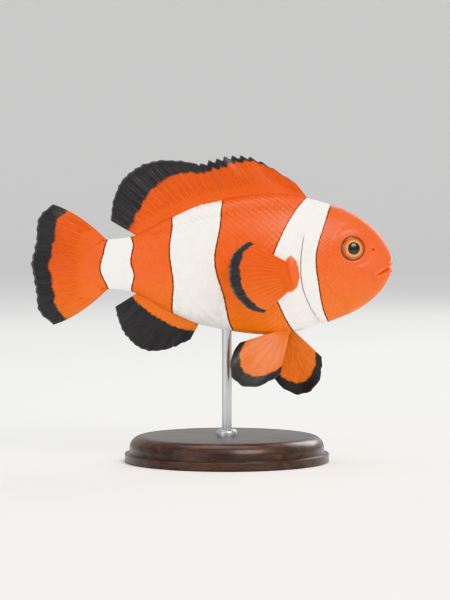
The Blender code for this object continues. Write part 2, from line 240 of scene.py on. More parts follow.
def waves(at, *rows):
    """The sum of some waves, each given by its depth, its turns per unit and its start."""
    return sum(depth * np.sin(turns * at + start) for depth, turns, start in rows)


def bell(value, width):
    return np.exp(-((value / width) ** 2))


def sideways(distance):
    """Vectors towards the fish's left."""
    return np.stack([0 * distance, distance, 0 * distance], axis=-1)


def unit(vectors):
    return vectors / np.maximum(np.linalg.norm(vectors, axis=-1, keepdims=True), 1e-12)


# Body surface ---------------------------------------------------------------------------------------


def body_level(station, turn):
    up = -np.cos(turn)
    return up * np.where(up > 0, back(station), -belly(station))


def wedge(station):
    """How the flanks close on each other behind the tail root."""
    return 1.0 - ease(station, WEDGE_START, 1.0 + TAIL_WEDGE)


def smooth_body(station, turn):
    """Points of the plain body. A turn runs from the belly (0) up the left flank to the back (pi)."""
    up, across = -np.cos(turn), np.sin(turn)
    pinch = np.where(up > 0, BACK_PINCH, 1.0)
    side = np.sign(across) * np.abs(across) ** pinch * half_width(station) * wedge(station)
    drawn_in = WEDGE_BOW * np.maximum(station - WEDGE_START, 0.0) * up * up
    return place(station - drawn_in, body_level(station, turn), side)


def flank_at(points):
    """Half the body's thickness at points of the tail root and the midline fins, in metres."""
    station, level = station_and_level(points)
    share = np.minimum((level / np.where(level > 0, back(station), belly(station))) ** 2, 1.0)
    past = np.maximum(station - WEDGE_START, 0.0) / (1.0 - WEDGE_BOW * share)
    station = np.where(past > 0, WEDGE_START + past, station)
    return half_width(station) * wedge(station) * np.sqrt(1.0 - share) * STANDARD_LENGTH


def body_frame(station, turn):
    """The lie towards the tail and the outward facing at points of the body."""
    step = 1e-4
    root = np.sqrt(station)
    behind, before = (root + step) ** 2, np.maximum(root - step, 0.0) ** 2
    lie = unit(smooth_body(behind, turn) - smooth_body(before, turn))
    around = unit(smooth_body(station, turn + step) - smooth_body(station, turn - step))
    return lie, unit(np.cross(lie, around))


def side_distance(station, level, centre):
    """Distance in side view from a (station, level) centre, in metres."""
    return np.hypot(station - centre[0], level - centre[1]) * STANDARD_LENGTH


def behind_gill(station, level):
    """How far a point lies behind the rear edge of the gill cover, in metres."""
    past = (level - GILL_LEVEL) / GILL_REACH
    edge = GILL_STATION - np.where(past > 0, GILL_RISE, GILL_FALL) * past * past
    return (station - edge) * STANDARD_LENGTH


def gill_reach(level):
    """1 where the gill opening runs, fading out at its upper and lower ends."""
    return ease(level, *GILL_LOW_END) * (1.0 - ease(level, *GILL_HIGH_END))


def past_cheek(station, level):
    """Distance outward from the cheek's rear edge, in metres, and 1 where that edge runs."""
    along, up = station - CHEEK_CENTRE[0], level - CHEEK_CENTRE[1]
    heading = np.degrees(np.arctan2(up, along))
    runs = ease(heading, *CHEEK_LOW_END) * (1.0 - ease(heading, *CHEEK_HIGH_END))
    return (np.hypot(along, up) - CHEEK_RADIUS) * STANDARD_LENGTH, runs


def past_lips(station, level):
    """Distance in side view from the parted lips, in metres, negative in the opening."""
    share = np.clip(station / MOUTH_CORNER[0], 0.0, 1.0)
    middle = MOUTH_MIDDLE + (MOUTH_CORNER[1] - MOUTH_MIDDLE) * share
    gape = MOUTH_GAPE * (1.0 - share) ** 0.7
    between = (np.abs(level - middle) - gape) * STANDARD_LENGTH
    beyond = side_distance(station, level, MOUTH_CORNER)
    return np.where(station > MOUTH_CORNER[0], beyond, between)


def beyond_pad(station, level):
    """1 on the rim of the fleshy pad at the root of a breast fin, less inside it."""
    along, up = (station - PECTORAL_PAD[0]) / PAD_REACH[0], (level - PECTORAL_PAD[1]) / PAD_REACH[1]
    heading = np.arctan2(up, along)
    return np.hypot(along, up) * (1.0 + waves(heading, *PAD_WAVES))


def scaled(station, level):
    """1 where scales grow, easing to 0 towards the naked snout, the orbit and the breast fin's pad."""
    front = np.interp(level, *NAKED_EDGE) + waves(level, *NAKED_WAVES)
    clear_of_eye = ease(side_distance(station, level, (EYE_STATION, EYE_LEVEL)), *ORBIT_CLEAR)
    return ease(station - front, *NAKED_FADE) * clear_of_eye * ease(beyond_pad(station, level), *PAD_FADE)


def relief(station, level):
    """How far the skin stands off the plain body, in metres."""
    lips = past_lips(station, level)
    mouth = (
        LIP_HEIGHT * np.sin(np.pi * np.clip(lips / LIP_WIDTH, 0.0, 1.0)) ** 0.7
        - LIP_CREASE * bell(lips - 1.2 * LIP_WIDTH, 0.25 * LIP_WIDTH)
        - MOUTH_DEPTH * ease(-lips, *MOUTH_WALL)
    )
    pore = side_distance(station, level, NOSTRIL)
    nostril = (NOSTRIL_RIM * bell(pore - NOSTRIL_RADIUS, NOSTRIL_RIM_WIDTH)
               - NOSTRIL_DEPTH * ease(-pore, *NOSTRIL_WALL))
    gap = behind_gill(station, level)
    gill = gill_reach(level) * (
        GILL_EDGE * bell(np.minimum(gap, 0.0), GILL_EDGE_WIDTH) * ease(-gap, *GILL_EDGE_FALL)
        - GILL_DEPTH * ease(gap, *GILL_WALL) * np.exp(-np.maximum(gap, 0.0) / GILL_RUN_OUT)
    )
    cheek, runs = past_cheek(station, level)
    cheek_edge = runs * (CHEEK_EDGE * bell(cheek + CHEEK_EDGE_INSIDE, CHEEK_EDGE_WIDTH)
                         - CHEEK_DEPTH * bell(cheek, CHEEK_GROOVE_WIDTH))
    pad = PAD_HEIGHT * ease(1.0 - beyond_pad(station, level), *PAD_RISE)
    coat = COAT_DEPTH * scaled(station, level) * wedge(station)
    return mouth + nostril + gill + cheek_edge + pad - coat


def eye_frame(sign):
    """Centre and outward axis of an eye."""
    flank = half_width(EYE_STATION) * math.cos(math.asin(EYE_LEVEL / back(EYE_STATION))) ** BACK_PINCH
    out = flank * STANDARD_LENGTH + EYE_PROUD - EYE_RADIUS * EYE_FLATTENING
    centre = place(EYE_STATION, EYE_LEVEL, 0.0) + (0.0, sign * out, 0.0)
    turn, lift = math.radians(EYE_TOE_IN), math.radians(EYE_LIFT)
    axis = np.array([math.sin(turn) * math.cos(lift), sign * math.cos(turn) * math.cos(lift), math.sin(lift)])
    return centre, axis


def eye_distance(points, sign):
    """Distance from an eye's axis and height above its middle plane."""
    centre, axis = eye_frame(sign)
    offset = points - centre
    height = offset @ axis
    return np.linalg.norm(offset - height[..., None] * axis, axis=-1), height


def ball_height(radial):
    return EYE_FLATTENING * np.sqrt(np.maximum(EYE_RADIUS ** 2 - radial ** 2, 0.0))


def set_in_orbits(points):
    """Draws the skin round each eye into a level, raised rim, and sinks it behind the ball."""
    for sign in SIDES.values():
        axis = eye_frame(sign)[1]
        radial, height = eye_distance(points, sign)
        past = radial - EYE_OPENING
        roll_at, roll_width = ORBIT_ROLL_AT
        end_at, end_width = ORBIT_RIM_END
        rim = ball_height(EYE_OPENING) + ORBIT_RIM + ORBIT_ROLL * bell(past - roll_at, roll_width)
        rim = rim - ORBIT_RIM * bell(past - end_at, end_width) - ORBIT_DEPTH * ease(-past, *ORBIT_WALL)
        share = (1.0 - ease(past, *ORBIT_REACH)) * (height > ORBIT_NEAR_SIDE)
        points = points + axis * (share * (rim - height))[..., None]
    return points


def skin_points(station, turn):
    facing = body_frame(station, turn)[1]
    stand_off = relief(station, body_level(station, turn))
    return set_in_orbits(smooth_body(station, turn) + facing * stand_off[..., None])


def arc_of_station(samples=4000):
    """Stations from the snout to past the tail root, and the distance along the back to each."""
    station = np.linspace(0.0, math.sqrt(1.0 + TAIL_WEDGE), samples) ** 2
    outline = np.stack([station, back(station)], axis=-1) * STANDARD_LENGTH
    steps = np.linalg.norm(np.diff(outline, axis=0), axis=-1)
    return station, np.concatenate([[0.0], np.cumsum(steps)])


STATIONS, ARC = arc_of_station()


def unwrap(station, turn):
    """A place on the flat unwrap of the skin: distance along the back, and turn about the axis."""
    along = np.interp(station, STATIONS, ARC) / ARC[-1]
    around = np.mod(turn, 2 * np.pi) / (2 * np.pi)
    return np.stack([0.01 + 0.86 * along, 0.01 + 0.98 * around, 0 * along], axis=-1)


# Markings -------------------------------------------------------------------------------------------

# The front and rear edge of each white bar: station, bow and slope of the edge, and depth, length and
# start of its waves. The bow is how far the edge leans forward at the back and belly.
BARS = (
    ((0.262, -0.058, 0.000, 0.003, 30.0, 0.4), (0.418, -0.093, -0.085, 0.004, 26.0, 2.0)),
    ((0.604, -0.042, 0.080, 0.006, 27.0, 1.2), (0.762, -0.006, 0.030, 0.005, 31.0, 0.2)),
    ((0.896, 0.000, 0.030, 0.005, 62.0, 0.6), (1.006, -0.160, 0.000, 0.003, 55.0, 2.4)),
)
BOW_REACH = 0.22
TRUNK_HALF = 0.011


def bar_edge(level, edge):
    station, bow, slope, *wave = edge
    return station + bow * (level / BOW_REACH) ** 2 + slope * level + waves(level, wave)


def bar_depth(points):
    """How deep points lie inside the nearest white bar, in metres, negative outside."""
    station, level = station_and_level(points)
    depths = [
        np.minimum(station - bar_edge(level, front), bar_edge(level, rear) - station)
        for front, rear in BARS
    ]
    on_trunk = np.abs(points[..., 1]) < TRUNK_HALF
    return np.where(on_trunk, np.max(depths, axis=0) * STANDARD_LENGTH, -1.0)


# Small makers ---------------------------------------------------------------------------------------


def linear(code):
    """An sRGB hex colour as linear red, green, blue and an alpha of 1."""
    shares = [int(code[i:i + 2], 16) / 255 for i in (1, 3, 5)]
    made = [c / 12.92 if c <= 0.04045 else ((c + 0.055) / 1.055) ** 2.4 for c in shares]
    return opaque(made)


def opaque(colour):
    return (*colour, 1.0)


def add_node(tree, kind, values=(), **settings):
    """Adds a node. values are its inputs, by name or in the order that Blender shows them.

    A node or socket among them is linked. The order of a Map Range is value, from low, from high, to low
    and to high, that of a Mix is factor, A and B, and that of a noise is vector, scale and detail.
    """
    made = tree.nodes.new(kind)
    for key, value in settings.items():
        setattr(made, key, value)
    usable = [socket for socket in made.inputs if socket.enabled]
    pairs = values.items() if isinstance(values, dict) else enumerate(values)
    for key, value in pairs:
        socket = usable[key] if isinstance(key, int) else next(s for s in usable if s.name == key)
        if isinstance(value, bpy.types.Node):
            value = next(s for s in value.outputs if s.enabled)
        if isinstance(value, bpy.types.NodeSocket):
            tree.links.new(value, socket)
        elif value is not None:
            socket.default_value = value
    return made


def new_material(name, coordinates="Object"):
    """An empty material, its tree and the coordinates in it."""
    made = bpy.data.materials.new(name)
    made.use_nodes = True
    made.node_tree.nodes.clear()
    return made, made.node_tree, add_node(made.node_tree, "ShaderNodeTexCoord").outputs[coordinates]


def finish_material(made, shader):
    add_node(made.node_tree, "ShaderNodeOutputMaterial", {"Surface": shader})
    return made


def set_stops(ramp, *stops):
    """Gives a colour ramp its stops from first to last, each a position and a colour."""
    elements = ramp.color_ramp.elements
    for element, (position, colour) in zip(elements, (stops[0], stops[-1])):
        element.position, element.color = position, colour
    for position, colour in stops[1:-1]:
        elements.new(position).color = colour


def mesh_from(name, points, faces):
    made = bpy.data.meshes.new(name)
    made.from_pydata([tuple(p) for p in points], [], faces)
    made.shade_smooth()
    return made


def new_object(name, data):
    made = bpy.data.objects.new(name, data)
    bpy.context.scene.collection.objects.link(made)
    return made


def link_piece(name, mesh, slot, *replaced):
    """A finished piece that rides on the body and hides the CAD nodes it stands for. The slot is not used."""
    made = new_object(name, mesh)
    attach(made, BODY)
    if replaced:
        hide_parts(*replaced)


def vertex_points(mesh):
    flat = np.empty(len(mesh.vertices) * 3)
    mesh.vertices.foreach_get("co", flat)
    return flat.reshape(-1, 3)


def store(mesh, name, values):
    """Keeps a number, or a vector, for each vertex."""
    values = np.asarray(values, dtype=np.float32)
    kind, key = ("FLOAT_VECTOR", "vector") if values.ndim > 1 else ("FLOAT", "value")
    layer = mesh.attributes.get(name) or mesh.attributes.new(name, kind, "POINT")
    layer.data.foreach_set(key, values.ravel())


def bake_map(mesh, places):
    """Writes the OFBake UV map from one place for each face corner."""
    layer = mesh.uv_layers.new(name="OFBake")
    layer.data.foreach_set("uv", np.asarray(places[:, :2], dtype=np.float32).ravel())


def mend(mesh, doubles=None):
    """Turns a mesh's faces outward, or merges its doubles within a distance."""
    work = bmesh.new()
    work.from_mesh(mesh)
    if doubles is None:
        bmesh.ops.recalc_face_normals(work, faces=work.faces)
    else:
        bmesh.ops.remove_doubles(work, verts=work.verts, dist=doubles)
    work.to_mesh(mesh)
    work.free()


def ring_faces(rings):
    """Faces between rings of vertex numbers. A pole is a ring of one number, repeated."""
    faces = []
    for upper, lower in zip(rings, rings[1:]):
        for j in range(len(upper)):
            k = (j + 1) % len(upper)
            faces.append(tuple(dict.fromkeys((upper[j], lower[j], lower[k], upper[k]))))
    return faces


def new_tree(name, inputs):
    """A Geometry Nodes tree with a mesh input, named inputs and a mesh output."""
    tree = bpy.data.node_groups.new(name, "GeometryNodeTree")
    tree.interface.new_socket("Geometry", in_out="INPUT", socket_type="NodeSocketGeometry")
    for label, value in inputs.items():
        kind = {int: "NodeSocketInt", float: "NodeSocketFloat"}.get(type(value), "NodeSocketMaterial")
        socket = tree.interface.new_socket(label, in_out="INPUT", socket_type=kind)
        if kind != "NodeSocketMaterial":
            socket.default_value = value
    tree.interface.new_socket("Geometry", in_out="OUTPUT", socket_type="NodeSocketGeometry")
    return tree, tree.nodes.new("NodeGroupInput").outputs


def grown_mesh(name, seed_mesh, tree, values):
    """Runs a tree on a mesh with its named inputs set, and returns the result as a plain mesh."""
    seed = new_object(name, seed_mesh)
    modifier = seed.modifiers.new(tree.name, "NODES")
    modifier.node_group = tree
    for item in tree.interface.items_tree:
        if item.in_out == "INPUT" and item.name in values:
            modifier[item.identifier] = values[item.name]
    bpy.context.view_layer.update()
    evaluated = seed.evaluated_get(bpy.context.evaluated_depsgraph_get())
    made = bpy.data.meshes.new_from_object(evaluated)
    made.name = name
    bpy.data.objects.remove(seed)
    return made


# Materials ------------------------------------------------------------------------------------------


def marked_colour(tree, place_of, colours):
    """Orange with white bars edged in a hair of black, from the stored depth inside the bars."""
    depth = add_node(tree, "ShaderNodeAttribute", attribute_name="bar").outputs["Fac"]
    # Pigment cells end unevenly, over a few tenths of a millimetre
    ragged = add_node(tree, "ShaderNodeTexNoise", (place_of, 1400.0, 3.0))
    shift = add_node(tree, "ShaderNodeMath", (ragged, -0.5), operation="ADD")
    wander = add_node(tree, "ShaderNodeMath", (shift, 0.45 * MM, depth), operation="MULTIPLY_ADD")
    inside = add_node(tree, "ShaderNodeMapRange", (wander, 0.10 * MM, 0.26 * MM))
    to_edge = add_node(tree, "ShaderNodeMath", (wander,), operation="ABSOLUTE")
    rim = add_node(tree, "ShaderNodeMapRange", (to_edge, 0.08 * MM, 0.30 * MM, 0.86, 0.0))
    # The fleshy pad at the root of a breast fin stays orange, and its edge wanders into the white
    flesh = add_node(tree, "ShaderNodeAttribute", attribute_name="flesh").outputs["Fac"]
    patchy = add_node(tree, "ShaderNodeMath", (shift, 0.20, flesh), operation="MULTIPLY_ADD")
    bare = add_node(tree, "ShaderNodeMapRange", (patchy, 0.94, 1.05, 1.0, 0.0))
    white = add_node(tree, "ShaderNodeMath", (inside, bare), operation="MULTIPLY")
    # Pigment is denser on the back and paler under the belly
    height = add_node(tree, "ShaderNodeSeparateXYZ", (place_of,)).outputs["Z"]
    upward = add_node(tree, "ShaderNodeMapRange", (height, AXIS_Z - 17.0 * MM, AXIS_Z + 19.0 * MM))
    shaded = add_node(tree, "ShaderNodeValToRGB", (upward,))
    set_stops(shaded, (0.0, linear("#F6842F")), (0.45, opaque(colours.orange)), (1.0, linear("#E86012")))
    cloud = add_node(tree, "ShaderNodeTexNoise", (place_of, 160.0, 4.0))
    mottle = add_node(tree, "ShaderNodeMapRange", (cloud, 0.0, 1.0, 0.86, 1.10))
    orange = add_node(tree, "ShaderNodeMix", (1.0, shaded, mottle), data_type="RGBA", blend_type="MULTIPLY")
    marked = add_node(tree, "ShaderNodeMix", (white, orange, opaque(colours.white)), data_type="RGBA")
    return add_node(tree, "ShaderNodeMix", (rim, marked, linear("#1B1513")), data_type="RGBA")


def with_margin(tree, colour, depth, colours):
    """A fin's dark margin laid over a colour, from a depth inside the margin."""
    share = add_node(tree, "ShaderNodeMapRange", (depth, -0.2 * MM, 0.4 * MM))
    return add_node(tree, "ShaderNodeMix", (share, colour, opaque(colours.margin)), data_type="RGBA")


def slime_film(tree, place_of):
    """Roughness of skin under a film of mucus that lies thicker in patches of a few millimetres."""
    film = add_node(tree, "ShaderNodeTexNoise", (place_of, 350.0, 3.0))
    return add_node(tree, "ShaderNodeMapRange", (film, 0.3, 0.7, 0.30, 0.48))


def skin_material(colours):
    """Live fish skin under a mucus film: moist, half translucent, with a soft broad highlight."""
    made, tree, place_of = new_material("mucus_coated_skin")
    colour = marked_colour(tree, place_of, colours)
    # Painted shade: the inside of the mouth, the nostrils, the gill slits and the skin round each eyeball are
    # darkened to a deep red brown, where shade falls in them
    hollow = add_node(tree, "ShaderNodeAttribute", attribute_name="hollow").outputs["Fac"]
    inner = add_node(tree, "ShaderNodeMix", (hollow, colour, linear("#3A120C")), data_type="RGBA")
    # Goose-flesh of the naked skin, grains of about 0.15 mm, drawn at 0.3 mm so that they show
    grain = add_node(tree, "ShaderNodeTexNoise", (place_of, 3300.0, 2.0))
    bump = add_node(tree, "ShaderNodeBump", {"Strength": 0.25, "Distance": 0.05 * MM, "Height": grain})
    return finish_material(made, add_node(tree, "ShaderNodeBsdfPrincipled", {
        "Base Color": inner, "Roughness": slime_film(tree, place_of), "Normal": bump,
        "Subsurface Weight": 0.12, "Subsurface Radius": (0.0012, 0.0005, 0.0003),
        "Specular IOR Level": 0.35, "Coat Weight": 0.22, "Coat Roughness": 0.18}))


def scale_material(colours):
    """Thin bony scales in clear skin over pigment: the same markings, with painted shade on each scale
    towards its root and its rim painted a little lighter.
    """
    made, tree, place_of = new_material("mucus_coated_scales")
    dark, rim, tone = (add_node(tree, "ShaderNodeAttribute", attribute_name=name).outputs["Fac"]
                       for name in ("dark", "rim", "tone"))
    edged = with_margin(tree, marked_colour(tree, place_of, colours), dark, colours)
    # Painted shade and light: each scale is darkened towards its root, where the rim of the scale ahead
    # overhangs it, and painted a little lighter at its own lifted rim
    rise = add_node(tree, "ShaderNodeMapRange", (rim, 0.45, 1.0, 0.84, 1.06))
    tone_and_root_shade = add_node(tree, "ShaderNodeMath", (rise, tone), operation="MULTIPLY")
    toned_and_shaded = add_node(tree, "ShaderNodeMix", (1.0, edged, tone_and_root_shade), data_type="RGBA", blend_type="MULTIPLY")
    # Growth rings on a scale, about 0.1 mm apart, drawn at 0.2 mm
    grain = add_node(tree, "ShaderNodeTexNoise", (place_of, 5000.0, 1.0))
    bump = add_node(tree, "ShaderNodeBump", {"Strength": 0.18, "Distance": 0.04 * MM, "Height": grain})
    return finish_material(made, add_node(tree, "ShaderNodeBsdfPrincipled", {
        "Base Color": toned_and_shaded, "Roughness": slime_film(tree, place_of), "Normal": bump,
        "Specular IOR Level": 0.35, "Coat Weight": 0.20, "Coat Roughness": 0.16}))


def fin_material(colours, name, through, depth, joint):
    """Fin web or ray: orange with a black margin, a pale hem and some light coming through."""
    made, tree, place_of = new_material(name)
    dark, hem = (add_node(tree, "ShaderNodeAttribute", attribute_name=mark).outputs["Fac"]
                 for mark in ("dark", "hem"))
    lay = add_node(tree, "ShaderNodeAttribute", attribute_name="lay").outputs["Vector"]
    # Fine strands run with the rays, about 0.1 mm apart, drawn at 0.2 mm
    drawn = add_node(tree, "ShaderNodeMapping", {"Vector": lay, "Scale": (1.0, 0.12, 1.0)})
    strands = add_node(tree, "ShaderNodeTexNoise", (drawn, 4200.0, 3.0))
    shade = add_node(tree, "ShaderNodeMapRange", (strands, 0.3, 0.7, 1.0 - depth, 1.0 + 0.4 * depth))
    stranded = add_node(tree, "ShaderNodeMix", (1.0, marked_colour(tree, place_of, colours), shade),
                        data_type="RGBA", blend_type="MULTIPLY")
    ragged = add_node(tree, "ShaderNodeTexNoise", (place_of, 420.0, 4.0))
    shift = add_node(tree, "ShaderNodeMath", (ragged, -0.5), operation="ADD")
    wander = add_node(tree, "ShaderNodeMath", (shift, 2.2 * MM, dark), operation="MULTIPLY_ADD")
    edged = with_margin(tree, stranded, wander, colours)
    hemmed = add_node(tree, "ShaderNodeMix", (hem, edged, linear("#9FA4AA")), data_type="RGBA")
    # Soft rays are built of short bony joints, about 0.4 mm long
    run = add_node(tree, "ShaderNodeSeparateXYZ", (lay,)).outputs["Y"]
    beat = add_node(tree, "ShaderNodeMath", (run, 2 * math.pi / joint), operation="MULTIPLY")
    joints = add_node(tree, "ShaderNodeMath", (beat,), operation="SINE")
    raised = add_node(tree, "ShaderNodeMath", (joints, 0.35, strands), operation="MULTIPLY_ADD")
    bump = add_node(tree, "ShaderNodeBump", {"Strength": 0.5, "Distance": 0.05 * MM, "Height": raised})
    shader = add_node(tree, "ShaderNodeBsdfPrincipled", {
        "Base Color": hemmed, "Roughness": 0.38, "Normal": bump, "Coat Weight": 0.30, "Coat Roughness": 0.20})
    glow = add_node(tree, "ShaderNodeBsdfTranslucent", {"Color": hemmed})
    return finish_material(made, add_node(tree, "ShaderNodeMixShader", (through, shader, glow)))


def iris_material():
    """A fish's iris: golden orange guanine round the pupil, darkening to brown, under wet skin."""
    made, tree, place_of = new_material("guanine_iris")
    out = add_node(tree, "ShaderNodeAttribute", attribute_name="outward").outputs["Fac"]
    fleck = add_node(tree, "ShaderNodeTexNoise", (place_of, 1500.0, 5.0))
    shift = add_node(tree, "ShaderNodeMath", (fleck, -0.5), operation="ADD")
    outer = add_node(tree, "ShaderNodeMapRange", (out, 0.44, 0.75, 0.015, 0.22))
    spread = add_node(tree, "ShaderNodeMath", (shift, outer), operation="MULTIPLY")
    wander = add_node(tree, "ShaderNodeMath", (spread, out), operation="ADD")
    bands = add_node(tree, "ShaderNodeValToRGB", (wander,))
    set_stops(bands, *((position, linear(code)) for position, code in (
        (0.44, "#050506"), (0.47, "#F7B04A"), (0.54, "#E8892B"), (0.68, "#B4571B"), (0.86, "#4B2310"),
        (1.0, "#1A0D08"))))
    return finish_material(made, add_node(tree, "ShaderNodeBsdfPrincipled", {
        "Base Color": bands, "Roughness": 0.30, "Coat Weight": 1.0, "Coat Roughness": 0.03}))


def walnut_material():
    """Black walnut, turned, stained dark and sealed with satin lacquer: long pores along the grain."""
    made, tree, place_of = new_material("stained_walnut")
    askew = (0.0, 0.0, math.radians(8.0))
    # Growth bands a few millimetres wide run along X and rise and fall across the board
    board = add_node(tree, "ShaderNodeMapping",
                     {"Vector": place_of, "Scale": (0.16, 1.0, 1.6), "Rotation": askew})
    bands = add_node(tree, "ShaderNodeTexNoise",
                     {"Vector": board, "Scale": 420.0, "Detail": 5.0, "Distortion": 0.6})
    colour = add_node(tree, "ShaderNodeValToRGB", (bands,))
    set_stops(colour, (0.32, linear("#1C100A")), (0.68, linear("#553320")))
    # Pores about 0.2 mm wide and 3 mm long
    grooves = add_node(tree, "ShaderNodeMapping",
                       {"Vector": place_of, "Scale": (0.06, 1.0, 1.0), "Rotation": askew})
    pores = add_node(tree, "ShaderNodeTexNoise", (grooves, 4200.0, 2.0))
    pitted = add_node(tree, "ShaderNodeMapRange", (pores, 0.34, 0.46))
    darker = add_node(tree, "ShaderNodeMapRange", (pitted, 0.0, 1.0, 0.45, 1.0))
    grained = add_node(tree, "ShaderNodeMix", (1.0, colour, darker),
                       data_type="RGBA", blend_type="MULTIPLY")
    bump = add_node(tree, "ShaderNodeBump", {"Strength": 0.35, "Distance": 0.06 * MM, "Height": pitted})
    return finish_material(made, add_node(tree, "ShaderNodeBsdfPrincipled", {
        "Base Color": grained, "Roughness": 0.46, "Normal": bump,
        "Coat Weight": 0.55, "Coat Roughness": 0.22}))


def steel_material():
    """Stainless steel rod, drawn and rubbed down lengthwise to a satin finish."""
    made, tree, place_of = new_material("satin_steel")
    drawn = add_node(tree, "ShaderNodeMapping", {"Vector": place_of, "Scale": (1.0, 1.0, 0.04)})
    lines = add_node(tree, "ShaderNodeTexNoise", (drawn, 6000.0, 2.0))
    rough = add_node(tree, "ShaderNodeMapRange", (lines, 0.0, 1.0, 0.22, 0.42))
    bump = add_node(tree, "ShaderNodeBump", {"Strength": 0.2, "Distance": 0.03 * MM, "Height": lines})
    return finish_material(made, add_node(tree, "ShaderNodeBsdfPrincipled", {
        "Base Color": linear("#C9CBCD"), "Metallic": 1.0, "Roughness": rough, "Normal": bump}))


def paper_material():
    """Matt white paper with a faint grain of a few millimetres."""
    made, tree, place_of = new_material("studio_paper", "Generated")
    fibre = add_node(tree, "ShaderNodeTexNoise", (place_of, 900.0, 2.0))
    bump = add_node(tree, "ShaderNodeBump", {"Strength": 0.05, "Distance": 0.1 * MM, "Height": fibre})
    return finish_material(made, add_node(tree, "ShaderNodeBsdfPrincipled", {
        "Base Color": linear("#F0F0EE"), "Roughness": 0.75, "Normal": bump}))


# Skin and scales ------------------------------------------------------------------------------------

SKIN_SIDES = 256
RING_SPACINGS = ((8.0 * MM, 0.13 * MM), (31.0 * MM, 0.19 * MM), (1.0, 0.60 * MM))


def ring_stations():
    """Ring stations, closest together round the mouth and eyes."""
    arcs = [0.0]
    for reach, spacing in RING_SPACINGS:
        while arcs[-1] < min(reach, ARC[-1]):
            arcs.append(arcs[-1] + spacing)
    # The last ring closes the wedge, so the one before it keeps its distance
    arcs = [reached for reached in arcs if reached < ARC[-1] - 0.5 * spacing] + [ARC[-1]]
    return np.interp(arcs, ARC, STATIONS)


def skin_mesh():
    """The whole skin as rings about the axis, closed at the snout and in a wedge at the tail root."""
    stations = ring_stations()[1:]
    turns = np.linspace(0.0, 2 * np.pi, SKIN_SIDES + 1)
    station, turn = np.meshgrid(stations, turns[:-1], indexing="ij")
    shape = skin_points(station, turn)
    points = np.concatenate([shape.reshape(-1, 3), [[SNOUT_X - MOUTH_DEPTH, 0.0, AXIS_Z]]])
    rings, sides = station.shape
    faces, places = [], []
    for i in range(rings - 1):
        for j in range(sides):
            corners = ((i, j), (i + 1, j), (i + 1, j + 1), (i, j + 1))
            faces.append([a * sides + b % sides for a, b in corners])
            places.extend((stations[a], turns[b]) for a, b in corners)
    for j in range(sides):
        faces.append((rings * sides, j, (j + 1) % sides))
        places.append((0.0, (turns[j] + turns[j + 1]) / 2))
        places.extend((stations[0], turns[b]) for b in (j, j + 1))
    made = mesh_from("skin", points, faces)
    places = np.array(places)
    bake_map(made, unwrap(places[:, 0], np.minimum(places[:, 1], 2 * np.pi - 1e-6)))
    level = body_level(station, turn)
    # Painted shade: how far the inside of the mouth, the nostrils, the gill slits and the skin in each eye
    # opening are darkened, where shade falls in them
    hollow_shades = [
        ease(-past_lips(station, level), 0.05 * MM, 0.35 * MM),
        ease(-side_distance(station, level, NOSTRIL), -0.30 * MM, -0.12 * MM),
        0.75 * gill_reach(level) * bell(behind_gill(station, level) - 0.12 * MM, 0.16 * MM),
    ]
    for sign in SIDES.values():
        in_orbit = ease(EYE_OPENING - eye_distance(shape, sign)[0], -0.10 * MM, 0.12 * MM)
        hollow_shades.append(0.85 * in_orbit * (sign * shape[..., 1] > 0))
    flesh = np.clip(2.0 - beyond_pad(station, level), 0.0, 2.0)
    store(made, "bar", bar_depth(points))
    store(made, "flesh", np.append(flesh, 0.0))
    # The stored hollow is painted shade, full at the point deep in the mouth
    store(made, "hollow", np.append(np.max(hollow_shades, axis=0), 1.0))
    mend(made, doubles=1e-7)
    return made


SCALE_EVENNESS = 0.8
SCALE_PITCH = 0.50
SCALE_LENGTH = 2.35
FACE_ROWS = 1.45
FACE_END = 0.238
SCALE_OVERLAP = 1.12
SHORTEST_SCALE = 0.40 * MM
SCALE_LEAST_GROWTH = 0.04
POCKET_DEPTH = 0.03 * MM
NAKED_POCKET_DEPTH = 0.05 * MM
GILL_CLEAR = 0.25 * MM
CHEEK_CLEAR = 0.16 * MM
THINNEST_FLANK = 0.10 * MM
FLANK_LIFT = (0.05 * MM, 0.60 * MM)
LATERAL_SHARE = 0.42
LATERAL_REACH = (0.32, 0.82)
LATERAL_RISE = 1.5
LATERAL_TONE = 0.88
SCALE_TONES = (0.93, 1.05)
COAT_JOIN = 0.50
SITE_MARKS = ("facing", "lie", "size", "root_place", "dark", "tone")


def row_turns(station, shares):
    """Turns that share out a section's outline, with rather finer rows on the back and belly."""
    turn = np.linspace(0.0, 2 * np.pi, 721)
    outline = smooth_body(np.full_like(turn, station), turn)
    length = np.linalg.norm(np.diff(outline, axis=0), axis=-1)
    weight = length ** SCALE_EVENNESS
    reached = np.concatenate([[0.0], np.cumsum(weight)])
    turns = np.interp(np.mod(shares, 1.0) * reached[-1], reached, turn)
    speed = np.interp(turns, turn[1:], length / np.diff(turn))
    row = np.gradient(np.interp(np.linspace(0, 1, 721) * reached[-1], reached, turn)) * 720
    width = speed * np.interp(np.mod(shares, 1.0), np.linspace(0, 1, 721), row) / len(shares)
    return turns, width


